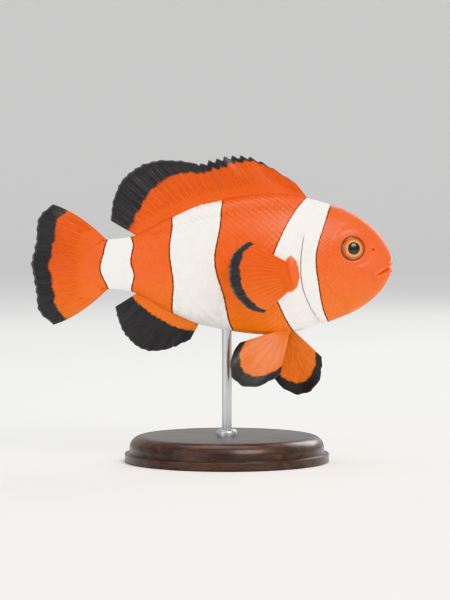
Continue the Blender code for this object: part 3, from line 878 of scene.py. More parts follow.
def body_scales(rows):
    """Roots, frames, sizes, unwrap places, margins and tones of the scales of the body."""
    sites = []
    station, column = min(NAKED_EDGE[1]), 0
    while station < 1.0 + 0.9 * TAIL_WEDGE:
        count = round(rows * FACE_ROWS) if station < FACE_END else rows
        shares = (np.arange(count) + 0.5 * (column % 2)) / count
        turns, width = row_turns(station, shares)
        pitch = SCALE_PITCH * np.median(width)
        here = np.full(count, station)
        level = body_level(here, turns)
        lie, facing = body_frame(here, turns)
        grown = scaled(here, level)
        # The front of a scale sits in a pocket of the skin
        sunk = POCKET_DEPTH + NAKED_POCKET_DEPTH * (1.0 - grown)
        roots = skin_points(here, turns) - facing * sunk[:, None]
        length = SCALE_LENGTH * pitch * np.ones(count)
        gap = behind_gill(here, level)
        runs = gill_reach(level) > 0.3
        length = np.where(runs & (gap < 0), np.minimum(length, -gap), length)
        cheek, cheek_runs = past_cheek(here, level)
        keep = (grown > SCALE_LEAST_GROWTH) & (length > SHORTEST_SCALE)
        keep &= ~(runs & (gap > 0) & (gap < GILL_CLEAR))
        keep &= ~((cheek_runs > 0.5) & (np.abs(cheek) < CHEEK_CLEAR))
        nearer = level - np.sign(level - PECTORAL_PAD[1]) * 0.5 * width / STANDARD_LENGTH
        keep &= beyond_pad(here + length / STANDARD_LENGTH, level) > 1.05
        keep &= beyond_pad(here + 0.5 * length / STANDARD_LENGTH, nearer) > 1.02
        keep &= (station < 1.0) | (flank_at(roots) > THINNEST_FLANK)
        # Scales lie flatter where the tail root thins out over the rays
        risen = grown * (0.25 + 0.75 * ease(flank_at(roots), *FLANK_LIFT))
        risen = np.where(station < 1.0, grown, risen)
        # Each scale on the lateral line carries a small pore tube: it stands higher and looks darker
        from_belly = 0.5 - np.abs(shares - 0.5)
        on_line = np.abs(from_belly - LATERAL_SHARE) < 0.5 / count
        on_line &= (station > LATERAL_REACH[0]) & (station < LATERAL_REACH[1])
        risen = risen * np.where(on_line, LATERAL_RISE, 1.0)
        tone = np.where(on_line, LATERAL_TONE, 1.0)
        broad = SCALE_OVERLAP * width * (0.75 + 0.25 * grown)
        size = np.stack([length, broad, length * risen], axis=-1)
        parts = (roots, facing, lie, size, unwrap(here, turns), np.full(count, -1.0), tone)
        sites.append([part[keep] for part in parts])
        station += pitch / STANDARD_LENGTH
        column += 1
    return [np.concatenate(parts) for parts in zip(*sites)]


def scale_tree():
    """Instances one domed, rounded plate on each root, lifted at its rear rim like a shingle."""
    tree, given = new_tree("overlapping_scales", {
        "Lift": 0.10, "Dome": 0.05, "Thickness": 0.035, "Patch": 0.003, "Material": None})
    blank = add_node(tree, "GeometryNodeMeshCube",
                     {"Size": (1.0, 1.0, 1.0), "Vertices X": 4, "Vertices Y": 5})
    at = add_node(tree, "ShaderNodeSeparateXYZ", (add_node(tree, "GeometryNodeInputPosition"),))
    raw = add_node(tree, "ShaderNodeMath", (at.outputs["X"], 0.5), operation="ADD")
    # Cuts across the plate crowd towards its free rim
    back_off = add_node(tree, "ShaderNodeMath", (1.0, raw), operation="SUBTRACT")
    crowded = add_node(tree, "ShaderNodeMath", (back_off, 1.35), operation="POWER")
    along = add_node(tree, "ShaderNodeMath", (1.0, crowded), operation="SUBTRACT")
    y = at.outputs["Y"]
    bulge = add_node(tree, "ShaderNodeMath", (y, y), operation="MULTIPLY")
    # The free rim is a parabola, and the hidden front of the plate is narrower
    round_off = add_node(tree, "ShaderNodeMath", (bulge, along), operation="MULTIPLY")
    x = add_node(tree, "ShaderNodeMath", (round_off, -1.7, along), operation="MULTIPLY_ADD")
    widen = add_node(tree, "ShaderNodeMapRange", {"Value": along, "To Min": 0.72, "To Max": 1.0})
    across = add_node(tree, "ShaderNodeMath", (y, widen), operation="MULTIPLY")
    lifted = add_node(tree, "ShaderNodeMath", (x, given["Lift"]), operation="MULTIPLY")
    domed = add_node(tree, "ShaderNodeMath", (bulge, given["Dome"]), operation="MULTIPLY")
    high = add_node(tree, "ShaderNodeMath", (domed, -4.0, lifted), operation="MULTIPLY_ADD")
    deep = add_node(tree, "ShaderNodeMath", (at.outputs["Z"], given["Thickness"], high),
                    operation="MULTIPLY_ADD")
    spot = add_node(tree, "ShaderNodeCombineXYZ", (x, across, deep))
    plate = add_node(tree, "GeometryNodeSetPosition", {"Geometry": blank.outputs["Mesh"], "Position": spot})
    kept = add_node(tree, "GeometryNodeStoreNamedAttribute",
                    {"Geometry": plate, "Name": "rim", "Value": along}, data_type="FLOAT")
    flat = add_node(tree, "ShaderNodeCombineXYZ", (x, across, 0.0))
    local = add_node(tree, "GeometryNodeStoreNamedAttribute",
                     {"Geometry": kept, "Name": "local", "Value": flat}, data_type="FLOAT_VECTOR")
    named = {
        name: add_node(tree, "GeometryNodeInputNamedAttribute", {"Name": name}, data_type="FLOAT_VECTOR")
        for name in ("facing", "lie", "size", "root_place", "local")
    }
    stand = add_node(tree, "FunctionNodeAlignRotationToVector", {"Vector": named["facing"]}, axis="Z")
    turn = add_node(tree, "FunctionNodeAlignRotationToVector",
                    {"Rotation": stand, "Vector": named["lie"]}, axis="X", pivot_axis="Z")
    placed = add_node(tree, "GeometryNodeInstanceOnPoints",
                      {"Points": given["Geometry"], "Instance": local, "Rotation": turn,
                       "Scale": named["size"]})
    real = add_node(tree, "GeometryNodeRealizeInstances", {"Geometry": placed})
    patch = add_node(tree, "ShaderNodeVectorMath", {0: named["local"], 1: given["Patch"]},
                     operation="MULTIPLY")
    spread = add_node(tree, "ShaderNodeVectorMath", (named["root_place"], patch), operation="ADD")
    mapped = add_node(tree, "GeometryNodeStoreNamedAttribute",
                      {"Geometry": real, "Name": "OFBake", "Value": spread},
                      data_type="FLOAT2", domain="CORNER")
    dressed = add_node(tree, "GeometryNodeSetMaterial", {"Geometry": mapped, "Material": given["Material"]})
    add_node(tree, "NodeGroupOutput", {"Geometry": dressed})
    return tree


def grow_scales(context, name, sites, keep, material, barred=True):
    """One coat piece from the scale sites that are kept."""
    roots, *marks = [part[keep] for part in sites]
    seed = mesh_from(f"{name}_roots", roots, [])
    for key, values in zip(SITE_MARKS, marks):
        store(seed, key, values)
    shape = context.scene.scale_shape
    made = grown_mesh(name, seed, scale_tree(), {
        "Lift": shape.lift, "Dome": shape.dome, "Thickness": shape.thickness, "Material": material})
    store(made, "bar", bar_depth(vertex_points(made)) if barred else np.full(len(made.vertices), -1.0))
    made.materials.clear()
    made.materials.append(material)
    made.polygons.foreach_set("material_index", np.zeros(len(made.polygons), dtype=np.int32))
    made.shade_smooth()
    made.set_sharp_from_angle(angle=math.radians(50.0))
    link_piece(name, made, "skin")


# Fins -----------------------------------------------------------------------------------------------

ROOT_DEPTH = 0.030
FIN_RIPPLE = 0.0005
FLUTTER = 0.20 * MM
RAY_UNEVEN = 0.010
WEB_FRAY = 0.004
MARGIN_UNEVEN = 0.012
MARGIN_SCALLOP = 0.008
HEM_PALENESS = 0.35
HEM_WIDTH = 0.16 * MM
TAIL_ROOT = 0.975
TAIL_BARE = 1.02
TAIL_HALF_ROOT = 0.076
TAIL_SPREAD = math.radians(34.0)
TAIL_ROUNDING = 0.026
TAIL_LOBES = 0.010
TAIL_CURL = 0.0010
TAIL_BOW = 0.0013
TAIL_CURVES = (1.07, 1.20)
PECTORAL_ROOT = (0.345, -0.028, 0.014)
PECTORAL_HALF_ROOT = (0.010, 0.038)
PECTORAL_LENGTH = 0.285
PECTORAL_ROUNDING = 0.36
PECTORAL_SPREAD = math.radians(27.0)
PECTORAL_DROOP = math.radians(2.0)
PECTORAL_OUT = (40.0, 6.0)
PECTORAL_BOW = 0.0011
PELVIC_ROOT = (0.350, 0.020, 0.022)
PELVIC_ROOT_LENGTH = 0.040
PELVIC_HEIGHTS = (0.165, 0.262, 0.150, 0.48)
PELVIC_FANS = {"left": (-46.0, 14.0), "right": (13.0, 73.0)}
PELVIC_OUT = math.radians(20.0)
PELVIC_BOW = 0.0006
WEB_COLUMNS = 8
WEB_ROWS = 36
WEB_EDGE = 0.03 * MM
WEB_START = -0.08
FLARE_ENDS = 0.09
FORK = (0.42, 0.72)
FORK_SPREAD = (0.18, 0.10)
FORK_LAP = 0.02
SPINE_RADIUS = 0.27 * MM
RAY_RADIUS = 0.22 * MM
BRANCH_RADII = (0.15 * MM, 0.12 * MM)
TWIG_RADII = (0.11 * MM, 0.06 * MM)
RAY_JOINT = 0.42 * MM
RAY_SPACING = 1.2 * MM


def arch(t, front, crown, rear, crest):
    """A height that climbs from front to crown at crest, then falls to rear."""
    climb = front + (crown - front) * np.sin(np.pi / 2 * np.minimum(t / crest, 1.0))
    fall = crown - (crown - rear) * (1.0 - np.cos(np.pi / 2 * (t - crest) / (1.0 - crest)))
    return np.where(t < crest, climb, fall)


def median_ray(start, end, edge, sign, heights, lean):
    """Rays of a fin on the midline: root, tip, bow and the share of the ray inside the body."""

    def ray_line(t):
        station = start + (end - start) * t
        height = arch(t, *heights)
        angle = np.radians(lean[0] + (lean[1] - lean[0]) * t)
        along, up = np.sin(angle), sign * np.cos(angle)
        root = place(station - along * ROOT_DEPTH, edge(station) - up * ROOT_DEPTH, 0.0)
        tip = place(station + along * height, edge(station) + up * height, 0.0)
        return root, tip, sideways(FIN_RIPPLE * np.sin(7.0 * t)), ROOT_DEPTH / (ROOT_DEPTH + height)

    return ray_line


def joined_rays(first, first_count, second, second_count):
    """Two runs of rays as one fin, bridged between the last ray of one and the first of the other."""
    total = first_count + second_count

    def ray_line(t):
        at = np.atleast_1d(t) * total
        early, late = first_count - 0.5, first_count + 0.5
        before = first(np.minimum(at, early) / first_count)
        after = second((np.maximum(at, late) - first_count) / second_count)
        share = np.clip(at - early, 0.0, 1.0)
        return [a + (b - a) * (share[..., None] if a.ndim > share.ndim else share)
                for a, b in zip(before, after)]

    return ray_line


def caudal_ray(t):
    """Rays of the rounded tail fin, from the upper lobe to the lower one."""
    up = 1.0 - 2.0 * t
    angle = TAIL_SPREAD * up
    lobes = TAIL_LOBES * np.sin(1.5 * np.pi * up) ** 2
    length = SWAY_END - TAIL_ROOT - TAIL_ROUNDING * up ** 4 - lobes
    tip_station = TAIL_ROOT + length * np.cos(angle)
    root = place(TAIL_ROOT, TAIL_HALF_ROOT * up, 0.0)
    tip = place(tip_station, TAIL_HALF_ROOT * up + length * np.sin(angle), 0.0)
    tip[..., 1] += TAIL_CURL * np.sin(5.0 * up + 0.8)
    bow = np.stack([0 * t, TAIL_CURL * np.cos(4.0 * up), TAIL_BOW * up], axis=-1)
    return root, tip, bow, (TAIL_BARE - TAIL_ROOT) / length


def pectoral_ray(sign):
    """Rays of a breast fin: a rounded paddle held out from the flank."""

    def ray_line(t):
        up = 1.0 - 2.0 * t
        station = PECTORAL_ROOT[0] + PECTORAL_HALF_ROOT[0] * up
        level = PECTORAL_ROOT[1] + PECTORAL_HALF_ROOT[1] * up
        reach = np.where(level > 0, back(station), -belly(station))
        pinch = np.where(level > 0, BACK_PINCH, 1.0)
        flank = half_width(station) * np.cos(np.arcsin(np.abs(level) / reach)) ** pinch
        side = sign * (flank - PECTORAL_ROOT[2])
        angle = PECTORAL_SPREAD * up - PECTORAL_DROOP
        out = np.radians(PECTORAL_OUT[0] - PECTORAL_OUT[1] * up)
        length = PECTORAL_LENGTH * (1.0 - PECTORAL_ROUNDING * up * up)
        back_share, out_share = np.cos(angle) * np.cos(out), np.cos(angle) * np.sin(out)
        root = place(station, level, side)
        tip_station = station + length * back_share
        tip = place(tip_station, level + length * np.sin(angle), side + sign * length * out_share)
        tip[..., 1] -= sway(tip_station)
        inside = 1.5 * PECTORAL_ROOT[2] / (length * out_share)
        return root, tip, sideways(sign * PECTORAL_BOW + 0 * t), inside

    return ray_line


def pelvic_ray(sign, lead, trail):
    """Rays of a belly fin: a rounded fan between two angles behind the vertical."""

    def ray_line(t):
        station = PELVIC_ROOT[0] + PELVIC_ROOT_LENGTH * t
        level = belly(station) + PELVIC_ROOT[1]
        side = sign * PELVIC_ROOT[2]
        length = arch(t, *PELVIC_HEIGHTS)
        angle = np.radians(lead + (trail - lead) * t)
        root = place(station, level, side)
        tip_station = station + length * np.sin(angle) * np.cos(PELVIC_OUT)
        tip = place(tip_station, level - length * np.cos(angle) * np.cos(PELVIC_OUT),
                    side + sign * length * np.sin(PELVIC_OUT))
        tip[..., 1] -= sway(tip_station)
        return root, tip, sideways(sign * PELVIC_BOW + 0 * t), 1.1 * PELVIC_ROOT[1] / length

    return ray_line


# Each run of rays: its first and last station, its edge and side of the body, its heights at the first
# ray, the crown and the last ray with the crown's place, and the lean of its first and last ray
DORSAL_SPINES = median_ray(0.292, 0.600, back, 1.0, (0.064, 0.162, 0.142, 0.45), (38.0, 30.0))
DORSAL_SOFT = median_ray(0.6045, 0.888, back, 1.0, (0.146, 0.216, 0.096, 0.45), (30.0, 60.0))
ANAL = median_ray(0.668, 0.885, belly, -1.0, (0.060, 0.164, 0.084, 0.45), (28.0, 58.0))

# Each fin: its rays, their number, how many of them are spines, how deep the web is notched between
# spines and between soft rays, how thick its root flares and how far out, and where the dark margin
# starts, as shares of the ray at the fin's first, middle and last ray
FINS = {
    "dorsal_fin": (joined_rays(DORSAL_SPINES, 10, DORSAL_SOFT, 14), 24, 10, (0.07, 0.012),
                   (0.45 * MM, 1.0 * MM), (0.97, 0.70, 0.30)),
    "anal_fin": (ANAL, 13, 2, (0.05, 0.012), (0.42 * MM, 1.0 * MM), (0.30, 0.20, 0.18)),
    "tail_fin": (caudal_ray, 15, 0, (0.0, 0.012), (0.17 * MM, 2.5 * MM), (0.68, 0.73, 0.68)),
}
for side, sign in SIDES.items():
    FINS[f"pectoral_fin_{side}"] = (pectoral_ray(sign), 15, 0, (0.0, 0.012), (0.60 * MM, 1.2 * MM),
                                    (0.84, 0.79, 0.84))
for side, margin in (("left", (0.76, 0.80, 0.78)), ("right", (0.78, 0.80, 0.76))):
    FINS[f"pelvic_fin_{side}"] = (pelvic_ray(SIDES[side], *PELVIC_FANS[side]), 6, 1, (0.04, 0.015),
                                  (0.45 * MM, 1.0 * MM), margin)
# Scales at the roots of fins: first and last place in rays, where along the rays they start and end,
# and their width at the body
FIN_COATS = {
    "tail_fin": (0.42, 14.58, -3.2 * MM, 5.5 * MM, 0.54 * MM),
    "dorsal_fin": (0.25, 23.7, -0.9 * MM, 2.7 * MM, 0.54 * MM),
    "anal_fin": (0.25, 12.7, -0.9 * MM, 2.7 * MM, 0.54 * MM),
}
COAT_PITCH = 0.52
COAT_SHRINK = 0.45
COAT_ENDS = 2.5


class Fin:
    """Where the web and the rays of one fin run."""

    def __init__(self, name):
        self.ray_line, self.rays, self.spines, self.notch, self.flare, self.dark = FINS[name]
        self.in_line = name == "tail_fin"
        chance = np.random.default_rng(len(name) * 7 + self.rays)
        self.uneven = chance.uniform(-1.0, 1.0, self.rays + 2)
        self.fray = chance.uniform(-1.0, 1.0, 5 * self.rays + 2)

    def points(self, at, reach):
        """Points at a place along the fin, counted in rays, and a share of the ray."""
        root, tip, bow, _ = self.ray_line(at / self.rays)
        between = 0.5 + 0.5 * np.cos(2 * np.pi * at)
        inner = ease_ends(at, 0.0, self.rays, 0.0, 0.5)
        notch = np.where(at < self.spines, self.notch[0], self.notch[1])
        ragged = RAY_UNEVEN * np.interp(at + 0.5, np.arange(self.rays + 2), self.uneven)
        frayed = WEB_FRAY * np.interp(5.0 * at, np.arange(len(self.fray)), self.fray) * (at > self.spines)
        share = (reach * (1.0 - reach * (notch * between * inner - ragged - frayed)))[..., None]
        flutter = sideways(FLUTTER * np.sin(2.3 * at + 1.0) * reach ** 2)
        made = root + (tip - root) * share + bow * (4.0 * share * (1.0 - share)) + flutter
        if self.in_line:
            station = station_and_level(made)[0]
            middle = sway(station)
            made[..., 1] = middle + (made[..., 1] - middle) * ease(station, *TAIL_CURVES)
        return made

    def span(self, at):
        """The length of the ray at a place, and the share of it inside the body."""
        root, tip, _, inside = self.ray_line(at / self.rays)
        return np.linalg.norm(tip - root, axis=-1), inside

    def marks(self, at, reach):
        """Depth inside the dark margin, nearness to the outer edge, distance past the body, and lay."""
        length, inside = self.span(at)
        past_body = (reach - inside) * length
        visible = (reach - inside) / (1.0 - inside)
        start = np.interp(at / self.rays, (0.0, 0.5, 1.0), self.dark)
        uneven = MARGIN_UNEVEN * np.interp(at + 0.5, np.arange(self.rays + 2), self.uneven[::-1])
        scalloped = MARGIN_SCALLOP * np.cos(2 * np.pi * at)
        dark = (visible - start - uneven - scalloped) * (1.0 - inside) * length
        hem = HEM_PALENESS * bell((1.0 - reach) * length, HEM_WIDTH)
        return dark, hem, past_body, np.stack([at * RAY_SPACING, past_body, 0 * at], axis=-1)

    def half_thickness(self, at, reach, past_body, web):
        """Half the web's thickness: fleshy at the body, thin at its margins."""
        flare, reach_out = self.flare
        taper = FLARE_ENDS * self.rays
        flare = flare * ease_ends(at, 0.0, self.rays, -0.3 * taper, taper)
        flare = flare * ease(past_body, -1.6 * MM, -0.5 * MM)
        half = web / 2 + flare * np.exp(-np.maximum(past_body, -0.5 * MM) / reach_out)
        ends = ease_ends(at, 0.0, self.rays, 0.0, 0.35)
        return WEB_EDGE + (half - WEB_EDGE) * ends * ease(1.0 - reach, 0.0, 0.06)

    def reach_at(self, at, past_body):
        """The share of the ray that lies a distance past the body."""
        length, inside = self.span(at)
        return inside + past_body / length

    def lay_and_facing(self, at, reach):
        """The direction along the ray and the facing of the web's left sheet."""
        step = 1e-3
        along = unit(self.points(at, reach + step) - self.points(at, reach - step))
        across = unit(self.points(at + step, reach) - self.points(at - step, reach))
        return along, unit(np.cross(across, along))


def fin_web(fin, web):
    """The web as a closed sheet: points, faces and marks."""
    columns = fin.rays * WEB_COLUMNS + 1
    at, reach = np.meshgrid(np.linspace(0.0, fin.rays, columns), np.linspace(WEB_START, 1.0, WEB_ROWS + 1),
                            indexing="ij")
    middle = fin.points(at, reach)
    facing = unit(np.cross(np.gradient(middle, axis=0), np.gradient(middle, axis=1)))
    dark, hem, past_body, lay = fin.marks(at, reach)
    half = fin.half_thickness(at, reach, past_body, web)
    sheets = [middle + facing * half[..., None], (middle - facing * half[..., None])[:, ::-1]]
    points = np.concatenate(sheets, axis=1)
    marks = [np.concatenate([mark, mark[:, ::-1]], axis=1) for mark in (dark, hem, lay)]
    loop = points.shape[1]
    faces = []
    for c in range(columns - 1):
        for k in range(loop):
            n = (k + 1) % loop
            faces.append((c * loop + k, (c + 1) * loop + k, (c + 1) * loop + n, c * loop + n))
    for c, flipped in ((0, False), (columns - 1, True)):
        for k in range(WEB_ROWS):
            face = [c * loop + i for i in (k, k + 1, loop - 2 - k, loop - 1 - k)]
            faces.append(tuple(reversed(face)) if flipped else tuple(face))
    return points.reshape(-1, 3), faces, marks


def fin_scales(name, strip, web, chance):
    """Scale sites on both sides of the root of an unpaired fin, smaller towards the margin."""
    sites = []
    first, last, start, reach_out, base_width = FIN_COATS[name]
    fin = Fin(name)
    fine = np.linspace(first, last, 400)
    for flank, sign in enumerate((1.0, -1.0)):
        past, column = start, 0
        while past < reach_out:
            share = max(past, 0.0) / reach_out
            width = base_width * (1.0 - COAT_SHRINK * share)
            line = fin.points(fine, fin.reach_at(fine, past))
            run = np.concatenate([[0.0], np.cumsum(np.linalg.norm(np.diff(line, axis=0), axis=-1))])
            spots = np.arange(width * (0.5 * (column % 2) + chance.uniform(0.0, 0.4)), run[-1], width)
            at = np.interp(spots, run, fine)
            reach = fin.reach_at(at, past)
            along, facing = fin.lay_and_facing(at, reach)
            dark, _, past_body, _ = fin.marks(at, reach)
            half = fin.half_thickness(at, reach, past_body, web)
            roots = fin.points(at, reach) + sign * facing * half[:, None]
            fade = 1.0 - 0.75 * share
            size = width * np.array([1.25, SCALE_OVERLAP, 0.85 * fade]) * np.ones((len(at), 1))
            # The coat narrows to the ends of the fin, and its rows end unevenly
            extent = 0.35 + 0.65 * ease_ends(at, first, last, 0.0, COAT_ENDS)
            kept = share < extent * (0.72 + 0.28 * np.sin(3.1 * at + column) ** 2)
            kept &= half > flank_at(roots) - THINNEST_FLANK
            along_strip = (2 * strip + flank + 0.02 + 0.95 * (at - first) / (last - first)) / 6.0
            up_strip = 0.02 + 0.95 * share + 0.001 * (column % 2) + 0 * at
            places = np.stack([up_strip, along_strip, 0 * at], axis=-1)
            tone = chance.uniform(*SCALE_TONES, len(at)) * (1.0 - 0.13 * share)
            parts = (roots, sign * facing, along, size, places, dark, tone)
            sites.append([part[kept] for part in parts])
            past += COAT_PITCH * width
            column += 1
    return [np.concatenate(parts) for parts in zip(*sites)]


def ray_paths(fin):
    """Places, reaches and radii of each bony ray and its forks."""
    paths = []
    for k in range(fin.rays):
        middle = k + 0.5
        if k < fin.spines:
            reach = np.linspace(0.0, 1.0, 16)
            paths.append((np.full(16, middle), reach, SPINE_RADIUS * (1.0 - 0.80 * reach)))
            continue
        reach = np.linspace(0.0, FORK[0], 10)
        paths.append((np.full(10, middle), reach, RAY_RADIUS - 0.05 * MM * reach / FORK[0]))
        for side in (-1, 1):
            reach = np.linspace(FORK[0] - FORK_LAP, FORK[1], 8)
            opened = FORK_SPREAD[0] * ease(reach, FORK[0] - FORK_LAP, FORK[1] + 0.10)
            paths.append((middle + side * opened, reach, np.linspace(*BRANCH_RADII, 8)))
            reach = np.linspace(FORK[1] - FORK_LAP, 0.99, 8)
            stem = FORK_SPREAD[0] * ease(reach, FORK[0] - FORK_LAP, FORK[1] + 0.10)
            opened = FORK_SPREAD[1] * ease(reach, FORK[1] - FORK_LAP, 1.05)
            for twig in (-1, 1):
                paths.append((middle + side * stem + twig * opened, reach, np.linspace(*TWIG_RADII, 8)))
    return paths


def fin_tree():
    """Sweeps a round section along the ray edges and joins the bones to the web."""
    tree, given = new_tree("rays_in_web", {"Sides": 6, "Web Material": None, "Ray Material": None})
    bone = add_node(tree, "GeometryNodeInputNamedAttribute", {"Name": "bone"}, data_type="FLOAT")
    is_bone = add_node(tree, "FunctionNodeCompare", {0: bone, 1: 0.5}, data_type="FLOAT",
                       operation="GREATER_THAN")
    thick = add_node(tree, "GeometryNodeInputNamedAttribute", {"Name": "thick"}, data_type="FLOAT")
    lines = add_node(tree, "GeometryNodeMeshToCurve", {"Mesh": given["Geometry"], "Selection": is_bone})
    section = add_node(tree, "GeometryNodeCurvePrimitiveCircle",
                       {"Resolution": given["Sides"], "Radius": 1.0})
    swept = add_node(tree, "GeometryNodeCurveToMesh",
                     {"Curve": lines, "Profile Curve": section, "Scale": thick, "Fill Caps": True})
    bones = add_node(tree, "GeometryNodeSetMaterial",
                     {"Geometry": swept, "Material": given["Ray Material"]})
    bare = add_node(tree, "GeometryNodeDeleteGeometry",
                    {"Geometry": given["Geometry"], "Selection": is_bone})
    web = add_node(tree, "GeometryNodeSetMaterial", {"Geometry": bare, "Material": given["Web Material"]})
    joined = add_node(tree, "GeometryNodeJoinGeometry")
    tree.links.new(web.outputs[0], joined.inputs[0])
    tree.links.new(bones.outputs[0], joined.inputs[0])
    real = add_node(tree, "GeometryNodeRealizeInstances", {"Geometry": joined})
    smooth = add_node(tree, "GeometryNodeSetShadeSmooth", {"Geometry": real})
    add_node(tree, "NodeGroupOutput", {"Geometry": smooth})
    return tree


def fin_mesh(name, tree, web, materials):
    """A fin's web with its bony rays."""
    fin = Fin(name)
    points, faces, (dark, hem, lay) = fin_web(fin, web)
    plain = 0.0 * dark.ravel()
    parts = [(points, dark.ravel(), hem.ravel(), lay.reshape(-1, 3), plain, plain)]
    edges, count = [], len(points)
    for at, reach, radius in ray_paths(fin):
        dark, hem, _, lay = fin.marks(at, reach)
        parts.append((fin.points(at, reach), dark, hem, lay, np.ones_like(at), radius))
        edges.extend((count + k, count + k + 1) for k in range(len(at) - 1))
        count += len(at)
    points, *marks = [np.concatenate(values) for values in zip(*parts)]
    seed = bpy.data.meshes.new(f"{name}_seed")
    seed.from_pydata([tuple(p) for p in points], edges, faces)
    mend(seed)
    for key, values in zip(("dark", "hem", "lay", "bone", "thick"), marks):
        store(seed, key, values)
    made = grown_mesh(name, seed, tree, {"Web Material": materials[0], "Ray Material": materials[1]})
    store(made, "bar", np.full(len(made.vertices), -1.0))
    return made


# Eyes -----------------------------------------------------------------------------------------------

EYE_RINGS = 40
EYE_SPOKES = 72
PUPIL = 0.46
PUPIL_RISE = 0.14 * MM
IRIS_HOLLOW = 0.05 * MM


def eyeball_mesh(name, sign):
    """A flattened ball whose lens bulges through the pupil, with the distance from its axis stored."""
    centre, axis = eye_frame(sign)
    turns = np.linspace(0.0, np.pi, EYE_RINGS + 1)[1:-1]
    spokes = np.linspace(0.0, 2 * np.pi, EYE_SPOKES, endpoint=False)
    side = unit(np.cross(axis, (0.0, 0.0, 1.0)))
    up = np.cross(side, axis)
    points, outward, rings = [], [], []
    for turn in [0.0, *turns, np.pi]:
        radial = math.sin(turn)
        in_front = turn < np.pi / 2
        lens = PUPIL_RISE * float(1.0 - ease(radial, PUPIL - 0.12, PUPIL)) * in_front
        hollow = IRIS_HOLLOW * float(bell(radial - PUPIL - 0.10, 0.10)) * in_front
        height = EYE_RADIUS * EYE_FLATTENING * math.cos(turn) + lens - hollow
        pole = turn in (0.0, np.pi)
        count = 1 if pole else EYE_SPOKES
        rings.append([len(points)] * EYE_SPOKES if pole else range(len(points), len(points) + EYE_SPOKES))
        for spoke in spokes[:count]:
            across = math.cos(spoke) * side + math.sin(spoke) * up
            points.append(centre + axis * height + across * EYE_RADIUS * radial)
            outward.append(radial if in_front else 2.0 - radial)
    made = mesh_from(name, points, ring_faces(rings))
    mend(made)
    store(made, "outward", outward)
    return made


# Stand ----------------------------------------------------------------------------------------------

BASE_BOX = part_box("stand_base")
BASE_X = (BASE_BOX[0][0] + BASE_BOX[1][0]) / 2
BASE_RADIUS = 0.0255
BASE_HEIGHT = 0.0065
BASE_ROUND = 0.0030
BASE_STEP = 0.0012
BASE_FOOT = 0.0022
BASE_EASING = 0.0004
ROD_RADIUS = 0.0013
ROD_STATION = 0.570
COLLAR_RADIUS = 0.0026
COLLAR_HEIGHT = 0.0016
LATHE_SIDES = 144


def arc(centre, radius, start, end, steps):
    """Points of an arc in the plane of radius and height, angles in degrees."""
    angles = np.radians(np.linspace(start, end, steps))
    return [(centre[0] + radius * math.cos(a), centre[1] + radius * math.sin(a)) for a in angles]


def base_profile():
    """From the middle of the top, over the quarter round and the square foot, to the middle below."""
    top = BASE_RADIUS - BASE_STEP
    ease_in = BASE_EASING
    return [
        (0.0, BASE_HEIGHT),
        (top * 0.5, BASE_HEIGHT),
        *arc((top - BASE_ROUND, BASE_HEIGHT - BASE_ROUND), BASE_ROUND, 90.0, 0.0, 14),
        *arc((top + 0.3 * ease_in, BASE_FOOT + 0.3 * ease_in), 0.3 * ease_in, 180.0, 270.0, 4),
        *arc((BASE_RADIUS - 0.5 * ease_in, BASE_FOOT - 0.5 * ease_in), 0.5 * ease_in, 90.0, 0.0, 5),
        *arc((BASE_RADIUS - ease_in, ease_in), ease_in, 0.0, -90.0, 6),
        (top * 0.5, 0.0),
        (0.0, 0.0),
    ]


def collar_profile():
    """A small turned ring that hides where the rod enters the wood."""
    foot = BASE_HEIGHT
    edge = 0.0003
    return [
        (ROD_RADIUS - 0.0001, foot + COLLAR_HEIGHT - edge),
        *arc((ROD_RADIUS + edge, foot + COLLAR_HEIGHT - edge), edge, 150.0, 90.0, 4),
        *arc((COLLAR_RADIUS - 3 * edge, foot + COLLAR_HEIGHT - 3 * edge), 3 * edge, 90.0, 0.0, 8),
        (COLLAR_RADIUS, foot - 0.0001),
        (ROD_RADIUS - 0.0001, foot - 0.0001),
    ]


def rod_profile():
    """A straight bar from its socket in the base to just inside the belly."""
    top = AXIS_Z + belly(ROD_STATION) * STANDARD_LENGTH + 0.0014
    foot = BASE_HEIGHT - 0.0037
    heights = np.linspace(foot, top, 24)
    return [(0.0, top), *[(ROD_RADIUS, h) for h in heights[::-1]], (0.0, foot)]


def turned(profile, centre_x, sides):
    """Points and rings of a profile of radii and heights, turned about a vertical axis."""
    points, rings = [], []
    for radius, height in profile:
        if radius == 0.0:
            rings.append([len(points)] * sides)
            points.append((centre_x, 0.0, height))
            continue
        rings.append(range(len(points), len(points) + sides))
        for spoke in np.linspace(0.0, 2 * np.pi, sides, endpoint=False):
            points.append((centre_x + radius * math.cos(spoke), radius * math.sin(spoke), height))
    return points, rings


def lathe(name, profile):
    """A turned piece of the stand. A profile that doesn't start on the axis closes on itself."""
    points, rings = turned(profile, BASE_X, LATHE_SIDES)
    if profile[0][0] > 0.0:
        rings.append(rings[0])
    made = mesh_from(name, points, ring_faces(rings))
    mend(made)
    made.set_sharp_from_angle(angle=math.radians(35.0))
    return made


# Stage ----------------------------------------------------------------------------------------------

AIM = Vector((0.0035, 0.0, 0.0403))
VIEW_WIDTH = 0.112
SENSOR = 36.0
FLOOR_RADIUS = 1.1
WALL_BEND = 0.5
LAMPS = (
    ("key", (0.32, -0.55, 0.50), 0.42, 3.4, "#FFF8EF"),
    ("fill", (-0.55, -0.55, 0.22), 0.60, 1.0, "#F2F6FF"),
    ("top", (-0.05, 0.10, 0.75), 0.50, 1.8, "#FFFFFF"),
    ("rim", (0.35, 0.45, 0.35), 0.30, 1.4, "#FFFFFF"),
)


